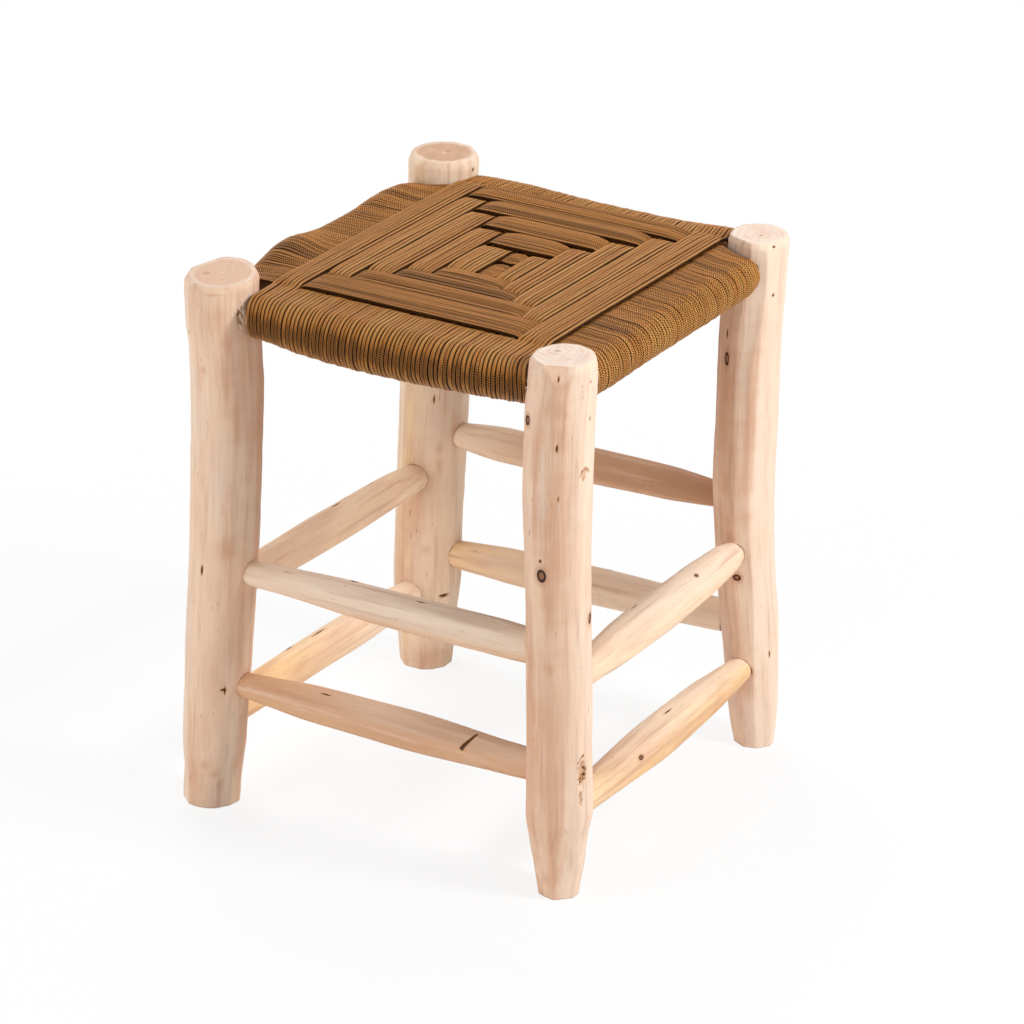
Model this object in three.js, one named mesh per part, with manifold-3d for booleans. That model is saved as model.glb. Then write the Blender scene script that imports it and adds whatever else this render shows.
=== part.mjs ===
// Moroccan kursi stool: four peeled-log legs, eight whittled rungs and four seat rails,
// with a seat of flat cord bands woven into concentric squares.
// Millimetres, +Z up, floor at zero. +X runs from the front left leg to the front right leg.
import * as THREE from 'three';
import { mergeVertices } from 'three/addons/utils/BufferGeometryUtils.js';
import Module from 'manifold-3d';

const wasm = await Module();
wasm.setup();

// Fits
const jointGap = 0.3;
const bandToLegGap = 0.6;

// Seat frame, measured between the centre lines of its rails, and the height of the woven sheet
const seatFrameWidth = 305;
const seatFrameDepth = 319;
const weaveHeight = 439;
const endRailDiameter = 31.5;
const sideRailDiameter = 27;
const railTenonDiameter = 18;
const railTenonDepth = 15;
const railShoulder = 2;

// Rungs
const rungTenonDepth = 15;
const rungTenonTaperShare = 0.86;

// Cord bands of the seat
const bandThickness = 3.4;
const bandBevel = 3.2;
const bandSpacing = 1.2;
const bandShoulderShare = 0.9;

// Facets
const legSides = 18;
const rungSides = 10;
const railSides = 12;
const legUnevenShare = 0.018;
const rungUnevenShare = 0.03;

// The logs bow along one diagonal of the stool
const logBowTurn = THREE.MathUtils.degToRad(30);

// Each leg is a log of its own. headOut and footOut say how far its heart stands outside the
// corner of the seat frame, along X and Y, at the top and at the floor, and headSlopeShares how its
// sawn top falls. A row of profileShares is a height, the width there and the sideways bow, as
// shares of the log's height and diameter.
const legFrontLeft = {
  name: 'leg_front_left', side: [-1, -1], height: 451.5, diameter: 57, turn: 0.4,
  headOut: [0, 0], footOut: [8.3, 4.3], headSlopeShares: [0, 0.13],
  profileShares: [
    [0, 0.79, -0.01], [0.065, 0.82, 0.01], [0.127, 0.89, 0.02], [0.285, 0.925, 0.05],
    [0.53, 0.955, 0.107], [0.71, 0.972, 0.109], [0.8, 0.985, 0.1], [0.865, 1, 0.067],
    [0.92, 1, 0.016], [0.988, 1, 0], [1, 0.93, 0],
  ],
};
const legFrontRight = {
  name: 'leg_front_right', side: [1, -1], height: 450, diameter: 53, turn: 1.3,
  headOut: [1.4, 2.8], footOut: [3.8, -5], headSlopeShares: [0, -0.02],
  profileShares: [
    [0, 0.6, 0.01], [0.06, 0.75, 0.015], [0.12, 0.89, 0], [0.155, 0.975, 0.01],
    [0.31, 0.97, 0], [0.52, 0.96, -0.036], [0.67, 0.975, -0.062], [0.76, 1.01, -0.062],
    [0.9, 1.01, -0.04], [0.985, 0.97, 0], [1, 0.9, 0],
  ],
};
const legBackRight = {
  name: 'leg_back_right', side: [1, 1], height: 449, diameter: 51, turn: 2.6,
  headOut: [-3.5, -7], footOut: [5.6, 7.8], headSlopeShares: [0, 0.02],
  profileShares: [
    [0, 0.66, -0.02], [0.05, 0.78, -0.03], [0.18, 0.9, -0.07], [0.27, 0.96, -0.115],
    [0.4, 0.96, -0.175], [0.53, 1, -0.2], [0.65, 1, -0.16], [0.8, 1, -0.108],
    [0.92, 0.98, -0.03], [0.988, 0.965, 0.02], [1, 0.9, 0.02],
  ],
};
const legBackLeft = {
  name: 'leg_back_left', side: [-1, 1], height: 457, diameter: 58, turn: 0.9,
  headOut: [-4.4, 1.9], footOut: [1.2, -6.2], headSlopeShares: [0, 0],
  profileShares: [
    [0, 0.77, -0.005], [0.045, 0.835, -0.005], [0.11, 0.92, -0.03], [0.175, 1, -0.031],
    [0.4, 0.985, -0.016], [0.53, 1, -0.012], [0.8, 0.985, 0], [0.985, 0.985, 0.007],
    [1, 0.92, 0.007],
  ],
};
const legs = [legFrontLeft, legFrontRight, legBackRight, legBackLeft];

// Each rung runs between the hearts of two legs. A row of profileShares is a place along its
// clear length and the width there, as shares of that length and of the rung's diameter.
const rungFrontUpper = {
  name: 'rung_front_upper', from: legFrontLeft, to: legFrontRight, fromHeight: 204,
  toHeight: 205.7, diameter: 31, turn: 0.1,
  profileShares: [[0, 0.68], [0.18, 0.84], [0.36, 0.955], [0.55, 0.975], [0.85, 1], [1, 0.93]],
};
const rungFrontLower = {
  name: 'rung_front_lower', from: legFrontLeft, to: legFrontRight, fromHeight: 106.5,
  toHeight: 103.9, diameter: 34, turn: 0.3,
  profileShares: [[0, 0.6], [0.1, 0.74], [0.25, 0.905], [0.55, 1], [0.8, 0.89], [1, 0.74]],
};
const rungRightUpper = {
  name: 'rung_right_upper', from: legFrontRight, to: legBackRight, fromHeight: 174.6,
  toHeight: 178.5, diameter: 35.8, turn: 0.2,
  profileShares: [[0, 0.68], [0.1, 0.78], [0.3, 0.96], [0.5, 1], [0.75, 0.96], [0.94, 0.76], [1, 0.6]],
};
const rungRightLower = {
  name: 'rung_right_lower', from: legFrontRight, to: legBackRight, fromHeight: 64.7,
  toHeight: 74, diameter: 35, turn: 0.5,
  profileShares: [[0, 0.66], [0.1, 0.77], [0.3, 0.92], [0.45, 0.99], [0.73, 0.92], [0.93, 0.7], [1, 0.62]],
};
const rungLeftUpper = {
  name: 'rung_left_upper', from: legFrontLeft, to: legBackLeft, fromHeight: 182,
  toHeight: 177.2, diameter: 32.4, turn: 0,
  profileShares: [[0, 0.76], [0.15, 0.92], [0.5, 1], [0.85, 0.93], [1, 0.76]],
};
const rungLeftLower = {
  name: 'rung_left_lower', from: legFrontLeft, to: legBackLeft, fromHeight: 71,
  toHeight: 71.2, diameter: 32, turn: 0.4,
  profileShares: [[0, 0.88], [0.15, 0.96], [0.5, 1], [0.85, 0.91], [1, 0.74]],
};
const rungBackUpper = {
  name: 'rung_back_upper', from: legBackLeft, to: legBackRight, fromHeight: 212.3,
  toHeight: 217.6, diameter: 33, turn: 0.2,
  profileShares: [[0, 0.68], [0.2, 0.99], [0.5, 0.95], [0.8, 0.9], [1, 0.67]],
};
const rungBackLower = {
  name: 'rung_back_lower', from: legBackLeft, to: legBackRight, fromHeight: 103.8,
  toHeight: 109, diameter: 33, turn: 0.6,
  profileShares: [[0, 0.73], [0.2, 0.93], [0.5, 1], [0.8, 0.965], [1, 0.83]],
};
const rungs = [
  rungFrontUpper, rungFrontLower, rungRightUpper, rungRightLower,
  rungLeftUpper, rungLeftLower, rungBackUpper, rungBackLower,
];

// Edges between the cord bands, where they cross each other. Front-to-back bands: shares of half
// the width of the seat frame. Left-to-right bands: shares of half its depth.
const longBandEdgeShares = [
  -0.812, -0.655, -0.51, -0.352, -0.194, -0.01, 0.102, 0.214, 0.339, 0.49, 0.628, 0.813,
];
const crossBandEdgeShares = [
  -0.814, -0.587, -0.436, -0.323, -0.203, 0.005, 0.175, 0.376, 0.559, 0.729, 0.905,
];

// Colours
const logMaterial = new THREE.MeshStandardMaterial({ color: '#e3c5a6', roughness: 0.75, metalness: 0 });
const rungMaterial = new THREE.MeshStandardMaterial({ color: '#e6c296', roughness: 0.75, metalness: 0 });
const railMaterial = new THREE.MeshStandardMaterial({ color: '#dcb488', roughness: 0.8, metalness: 0 });
const cordMaterial = new THREE.MeshStandardMaterial({ color: '#a36e3c', roughness: 0.6, metalness: 0 });

// Value of a table at one place, straight between its rows
function readTable(rows, place, column) {
  const next = Math.max(1, rows.findIndex((row) => row[0] >= place));
  const [low, high] = [rows[next - 1], rows[next]];
  return THREE.MathUtils.mapLinear(place, low[0], high[0], low[column], high[column]);
}

// Closed body from rings that run counterclockwise round the way they follow each other
function loftRings(rings, closesOnItself = false) {
  const count = rings[0].length;
  const faces = [];
  const steps = closesOnItself ? rings.length : rings.length - 1;
  for (let ring = 0; ring < steps; ring += 1) {
    const above = (ring + 1) % rings.length;
    for (let point = 0; point < count; point += 1) {
      const beside = (point + 1) % count;
      const [here, next] = [ring * count, above * count];
      faces.push(here + point, here + beside, next + beside, here + point, next + beside, next + point);
    }
  }
  const lastRing = (rings.length - 1) * count;
  for (let point = 1; !closesOnItself && point < count - 1; point += 1) {
    faces.push(0, point + 1, point, lastRing, lastRing + point, lastRing + point + 1);
  }
  const geometry = new THREE.BufferGeometry().setFromPoints(rings.flat());
  geometry.setIndex(faces);
  return geometry;
}

function solidOf(geometry) {
  const merged = mergeVertices(geometry);
  return new wasm.Manifold(new wasm.Mesh({
    numProp: 3,
    vertProperties: new Float32Array(merged.attributes.position.array),
    triVerts: new Uint32Array(merged.index.array),
  }));
}

function geometryOf(solid) {
  const mesh = solid.getMesh();
  const geometry = new THREE.BufferGeometry();
  geometry.setAttribute('position', new THREE.BufferAttribute(mesh.vertProperties, 3));
  geometry.setIndex(new THREE.BufferAttribute(mesh.triVerts, 1));
  return geometry;
}

function meshOf(name, geometry, material) {
  geometry.computeVertexNormals();
  const mesh = new THREE.Mesh(geometry, material);
  mesh.name = name;
  return mesh;
}

const halfFrame = [seatFrameWidth / 2, seatFrameDepth / 2];

// Heart of a leg at a height
function legHeart(leg, height) {
  const share = height / leg.height;
  const bow = readTable(leg.profileShares, share, 2) * leg.diameter;
  const [x, y] = leg.side.map((side, axis) => side
    * (halfFrame[axis] + THREE.MathUtils.lerp(leg.footOut[axis], leg.headOut[axis], share)));
  return new THREE.Vector3(x + bow * Math.cos(logBowTurn), y + bow * Math.sin(logBowTurn), height);
}

function legRadius(leg, height) {
  return readTable(leg.profileShares, height / leg.height, 1) * leg.diameter / 2;
}

// Slightly uneven round section, as a log or a whittled stick has
function unevenRadius(radius, angle, turn, unevenShare) {
  return radius * (1 + unevenShare * (Math.cos(2 * (angle - turn)) + 0.5 * Math.cos(3 * angle + turn) - 1));
}

// The last two rings, at the rim and at the sawn face, follow the slope of the top
function legLog(leg) {
  const firstSloped = leg.profileShares.length - 2;
  return loftRings(leg.profileShares.map(([share], ring) => {
    const height = share * leg.height;
    const heart = legHeart(leg, height);
    const slope = ring < firstSloped ? [0, 0] : leg.headSlopeShares;
    return Array.from({ length: legSides }, (_, side) => {
      const angle = 2 * Math.PI * side / legSides + leg.turn;
      const radius = unevenRadius(legRadius(leg, height), angle, leg.turn, legUnevenShare);
      const [x, y] = [Math.cos(angle) * radius, Math.sin(angle) * radius];
      return new THREE.Vector3(x, y, x * slope[0] + y * slope[1]).add(heart);
    });
  }));
}

// Stick between two points: stations are [distance along it, radius]
function stick(start, end, stations, sides, turn, unevenShare) {
  const along = end.clone().sub(start).normalize();
  const level = new THREE.Vector3(0, 0, 1).cross(along).normalize();
  const upward = along.clone().cross(level);
  return loftRings(stations.map(([distance, radius]) => Array.from({ length: sides }, (_, side) => {
    const angle = 2 * Math.PI * side / sides + turn;
    const reach = unevenRadius(radius, angle, turn, unevenShare);
    return start.clone().addScaledVector(along, distance)
      .addScaledVector(level, Math.cos(angle) * reach).addScaledVector(upward, Math.sin(angle) * reach);
  })));
}

// Rung, or with grow its mortise: a tenon in each leg and a whittled swell between them
function rungBody(rung, grow = 0) {
  const start = legHeart(rung.from, rung.fromHeight);
  const end = legHeart(rung.to, rung.toHeight);
  const from = legRadius(rung.from, rung.fromHeight);
  const to = start.distanceTo(end) - legRadius(rung.to, rung.toHeight);
  const radiusAt = (share) => readTable(rung.profileShares, share, 1) * rung.diameter / 2 + grow;
  const stations = [
    [from - rungTenonDepth - grow, (radiusAt(0) - grow) * rungTenonTaperShare + grow],
    ...rung.profileShares.map(([share]) => [THREE.MathUtils.lerp(from, to, share), radiusAt(share)]),
    [to + rungTenonDepth + grow, (radiusAt(1) - grow) * rungTenonTaperShare + grow],
  ];
  return stick(start, end, stations, rungSides, rung.turn, rungUnevenShare);
}

// Seat rails lie square to each other, with the top of all four at one height under the bands
const endRail = { axis: 0, diameter: endRailDiameter };
const sideRail = { axis: 1, diameter: sideRailDiameter };
const rails = [
  { name: 'seat_rail_front', from: legFrontLeft, to: legFrontRight, side: -1, ...endRail },
  { name: 'seat_rail_back', from: legBackLeft, to: legBackRight, side: 1, ...endRail },
  { name: 'seat_rail_left', from: legFrontLeft, to: legBackLeft, side: -1, ...sideRail },
  { name: 'seat_rail_right', from: legFrontRight, to: legBackRight, side: 1, ...sideRail },
];

// Distance from a rail's centre line to the middle of the band wound round it
function bandReach(rail) {
  return rail.diameter / 2 + jointGap + bandThickness / 2;
}

function railHeight(rail) {
  return weaveHeight - bandReach(rail);
}

// Places of the two legs' inner faces along a rail, at a height
function railEnds(rail, height) {
  return [rail.from, rail.to].map((leg) => legHeart(leg, height).getComponent(rail.axis)
    - leg.side[rail.axis] * legRadius(leg, height));
}

// Seat rail, or with grow its mortises: a round pole whittled to a thinner tenon at each end
function railBody(rail, grow = 0) {
  const ends = railEnds(rail, railHeight(rail));
  const [start, end] = ends.map((place) => new THREE.Vector3(0, 0, railHeight(rail))
    .setComponent(rail.axis, place).setComponent(1 - rail.axis, rail.side * halfFrame[1 - rail.axis]));
  const length = ends[1] - ends[0];
  const [body, tenon] = [rail.diameter / 2 + grow, railTenonDiameter / 2 + grow];
  const stations = [
    [-railTenonDepth - grow, tenon], [railShoulder, tenon], [2 * railShoulder, body],
    [length - 2 * railShoulder, body], [length - railShoulder, tenon],
    [length + railTenonDepth + grow, tenon],
  ];
  return stick(start, end, stations, railSides, 0, 0);
}

// Leg with a blind mortise for each rung and rail that ends in it
function legBody(leg) {
  let solid = solidOf(legLog(leg));
  const ends = [
    ...rungs.filter(({ from, to }) => from === leg || to === leg).map((rung) => rungBody(rung, jointGap)),
    ...rails.filter(({ from, to }) => from === leg || to === leg).map((rail) => railBody(rail, jointGap)),
  ];
  for (const end of ends) solid = solid.subtract(solidOf(end));
  return geometryOf(solid);
}

// The seat is woven about one level: a band lies half a step above it or half a step below.
// Underneath, the front-to-back bands pass straight below the left-to-right ones.
const levelStep = (bandThickness + jointGap) / 2;
const crossingMargin = bandSpacing / 2 + bandBevel;
const undersideHeight = weaveHeight - bandReach(rails[0]) - bandReach(rails[2]);
const longEdges = longBandEdgeShares.map((share) => share * halfFrame[0]);
const crossEdges = crossBandEdgeShares.map((share) => share * halfFrame[1]);
const longCount = longEdges.length - 1;
const crossCount = crossEdges.length - 1;

// Rank of a band counted inwards from the nearer edge of the seat
function rankOf(index, count) {
  return Math.min(index, count - 1 - index);
}

// A front-to-back band lies on top where its square is at least as far out as the other's
function longIsOnTop(long, cross) {
  return rankOf(long, longCount) <= rankOf(cross, crossCount);
}

// Edges of the bands wound on a rail, spread evenly between the two legs, clear of both from the
// top of the winding to its bottom
function edgesOnRail(edges, rail) {
  const heights = [weaveHeight, railHeight(rail), railHeight(rail) - bandReach(rail)];
  const ends = heights.map((height) => railEnds(rail, height));
  const low = Math.max(...ends.map((end) => end[0])) + bandToLegGap;
  const high = Math.min(...ends.map((end) => end[1])) - bandToLegGap;
  const [first, last] = [edges[0], edges[edges.length - 1]];
  return edges.map((edge) => THREE.MathUtils.mapLinear(edge, first, last, low, high));
}

// Top run of a band over the bands that it crosses: [place, level] at each place where its level
// or its width starts or stops changing
function topRun(edges, isOver, widthChanges) {
  const levels = edges.slice(1).map((_, crossing) => (isOver(crossing) ? levelStep : -levelStep));
  const last = levels.length - 1;
  const places = [edges[0] + crossingMargin, edges[last + 1] - crossingMargin, ...widthChanges];
  for (let crossing = 1; crossing <= last; crossing += 1) {
    if (levels[crossing] === levels[crossing - 1]) continue;
    places.push(edges[crossing] - crossingMargin, edges[crossing] + crossingMargin);
  }
  return [...new Set(places)].sort((a, b) => a - b).map((place) => {
    const crossing = edges.filter((edge) => edge < place).length - 1;
    return [place, levels[THREE.MathUtils.clamp(crossing, 0, last)]];
  });
}

// Stations of a band's loop round two rails: where it is, and which way its outer face looks
function bandLoop([lowRail, highRail], run, lowLevel) {
  const loop = run.map(([place, level]) => ({ place, height: weaveHeight + level, face: [0, 1] }));
  const wind = (rail, firstAngle) => {
    const centre = rail.side * halfFrame[1 - rail.axis];
    for (let step = 0; step <= railSides / 2; step += 1) {
      const angle = firstAngle - 2 * Math.PI * step / railSides;
      const face = [Math.cos(angle), Math.sin(angle)];
      const reach = bandReach(rail);
      loop.push({ place: centre + reach * face[0], height: railHeight(rail) + reach * face[1], face });
    }
  };
  const height = undersideHeight + lowLevel;
  wind(highRail, Math.PI / 2);
  for (const [place] of [run[run.length - 1], run[0]]) loop.push({ place, height, face: [0, -1] });
  wind(lowRail, -Math.PI / 2);
  return loop;
}

// Section of a band: thin edges, bevelled shoulders and a low crown, as [across, outwards]
function bandSection(width) {
  const [edge, shoulder] = [width / 2, width / 2 - bandBevel];
  const [crown, bevelled] = [bandThickness / 2, bandThickness / 2 * bandShoulderShare];
  return [
    [edge, 0], [shoulder, bevelled], [0, crown], [-shoulder, bevelled],
    [-edge, 0], [-shoulder, -bevelled], [0, -crown], [shoulder, -bevelled],
  ];
}

// Closed flat band round two rails. It keeps its edges between two places on the seat, and from
// there to the rails it spreads or draws in to its edges on them.
function bandBody(index, edges, crossedEdges, bandRails, isOver, widthChanges, lowLevel) {
  const axis = 1 - bandRails[0].axis;
  const sideways = axis === 0 ? 1 : -1;
  const loop = bandLoop(bandRails, topRun(crossedEdges, isOver, widthChanges), lowLevel);
  const railEdges = bandRails.map((rail) => edgesOnRail(edges, rail));
  const edgeAt = (edge, place) => {
    const end = place < 0 ? 0 : 1;
    const centre = bandRails[end].side * halfFrame[axis];
    const share = THREE.MathUtils.clamp((place - widthChanges[end]) / (centre - widthChanges[end]), 0, 1);
    return THREE.MathUtils.lerp(edges[edge], railEdges[end][edge], share);
  };
  return loftRings(loop.map(({ place, height, face }) => {
    const [low, high] = [edgeAt(index, place), edgeAt(index + 1, place)];
    return bandSection(high - low - bandSpacing).map(([across, outwards]) => {
      const point = new THREE.Vector3(0, 0, height + outwards * face[1]);
      point.setComponent(axis, place + outwards * face[0]);
      return point.setComponent(1 - axis, (low + high) / 2 + sideways * across);
    });
  }), true);
}

// Front-to-back bands keep their edges over the whole weave
function longBandBody(long) {
  const isOver = (cross) => longIsOnTop(long, cross);
  const widthChanges = [crossEdges[0] - crossingMargin, crossEdges[crossCount] + crossingMargin];
  return bandBody(long, longEdges, crossEdges, rails.slice(0, 2), isOver, widthChanges, -levelStep);
}

// Left-to-right bands spread or draw in from under the outermost front-to-back bands
function crossBandBody(cross) {
  const isOver = (long) => !longIsOnTop(long, cross);
  const widthChanges = [longEdges[1] + crossingMargin, longEdges[longCount - 1] - crossingMargin];
  return bandBody(cross, crossEdges, longEdges, rails.slice(2), isOver, widthChanges, levelStep);
}

function numbered(prefix, index) {
  return `${prefix}_${String(index + 1).padStart(2, '0')}`;
}

// The whole stool, centred on the floor under its own outer box
function kursiStool() {
  const group = new THREE.Group();
  for (const leg of legs) group.add(meshOf(leg.name, legBody(leg), logMaterial));
  for (const rung of rungs) group.add(meshOf(rung.name, rungBody(rung), rungMaterial));
  for (const rail of rails) group.add(meshOf(rail.name, railBody(rail), railMaterial));
  for (let long = 0; long < longCount; long += 1) {
    group.add(meshOf(numbered('band_front_back', long), longBandBody(long), cordMaterial));
  }
  for (let cross = 0; cross < crossCount; cross += 1) {
    group.add(meshOf(numbered('band_left_right', cross), crossBandBody(cross), cordMaterial));
  }
  const centre = new THREE.Box3().setFromObject(group).getCenter(new THREE.Vector3());
  group.position.set(-centre.x, -centre.y, 0);
  return group;
}

export default kursiStool();
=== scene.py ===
# Moroccan kursi stool: peeled log legs, whittled rungs and a seat woven from braided cord.
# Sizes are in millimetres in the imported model's frame, and become metres where a mesh is made.
import math

import bpy
import numpy as np
from mathutils import Matrix, Vector


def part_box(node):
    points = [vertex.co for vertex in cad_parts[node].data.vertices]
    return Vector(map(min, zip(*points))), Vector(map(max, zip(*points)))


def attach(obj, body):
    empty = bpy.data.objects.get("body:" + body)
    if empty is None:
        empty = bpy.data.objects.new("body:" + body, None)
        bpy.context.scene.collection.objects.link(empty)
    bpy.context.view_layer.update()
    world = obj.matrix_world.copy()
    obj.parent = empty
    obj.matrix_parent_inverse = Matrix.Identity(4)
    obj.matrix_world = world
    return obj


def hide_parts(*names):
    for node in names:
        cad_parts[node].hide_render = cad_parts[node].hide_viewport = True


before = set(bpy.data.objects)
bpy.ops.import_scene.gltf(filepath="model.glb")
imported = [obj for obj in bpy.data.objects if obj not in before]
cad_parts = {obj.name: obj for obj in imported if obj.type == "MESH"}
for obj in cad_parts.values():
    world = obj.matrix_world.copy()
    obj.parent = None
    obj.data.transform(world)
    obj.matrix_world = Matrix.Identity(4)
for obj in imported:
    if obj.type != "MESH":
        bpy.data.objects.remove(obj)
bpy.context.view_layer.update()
bpy.context.scene.view_settings.view_transform = "Standard"

MM = 0.001

# Where the photograph was taken from, in degrees round the stool and millimetres, and its lens.
# The roll turns its right and up.
CAMERA_AZIMUTH = 30.45
CAMERA_ELEVATION = 23.417
CAMERA_ROLL = math.radians(1.121)
CAMERA_DISTANCE = 4000
CAMERA_TARGET = Vector((0.73, 0.293, 225))
CAMERA_SENSOR = 36
CAMERA_LENS = 175.757
CAMERA_SHIFT = (0.0188, 0.0036)

# Fits of the joints and the seat as the solids have them, and the turn along which the logs bow
TENON_DEPTH = 15
JOINT_GAP = 0.3
BAND_THICKNESS = 3.4
BAND_SPACING = 1.2
BAND_TO_LEG_GAP = 0.6
LOG_BOW_TURN = math.radians(30)

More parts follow.
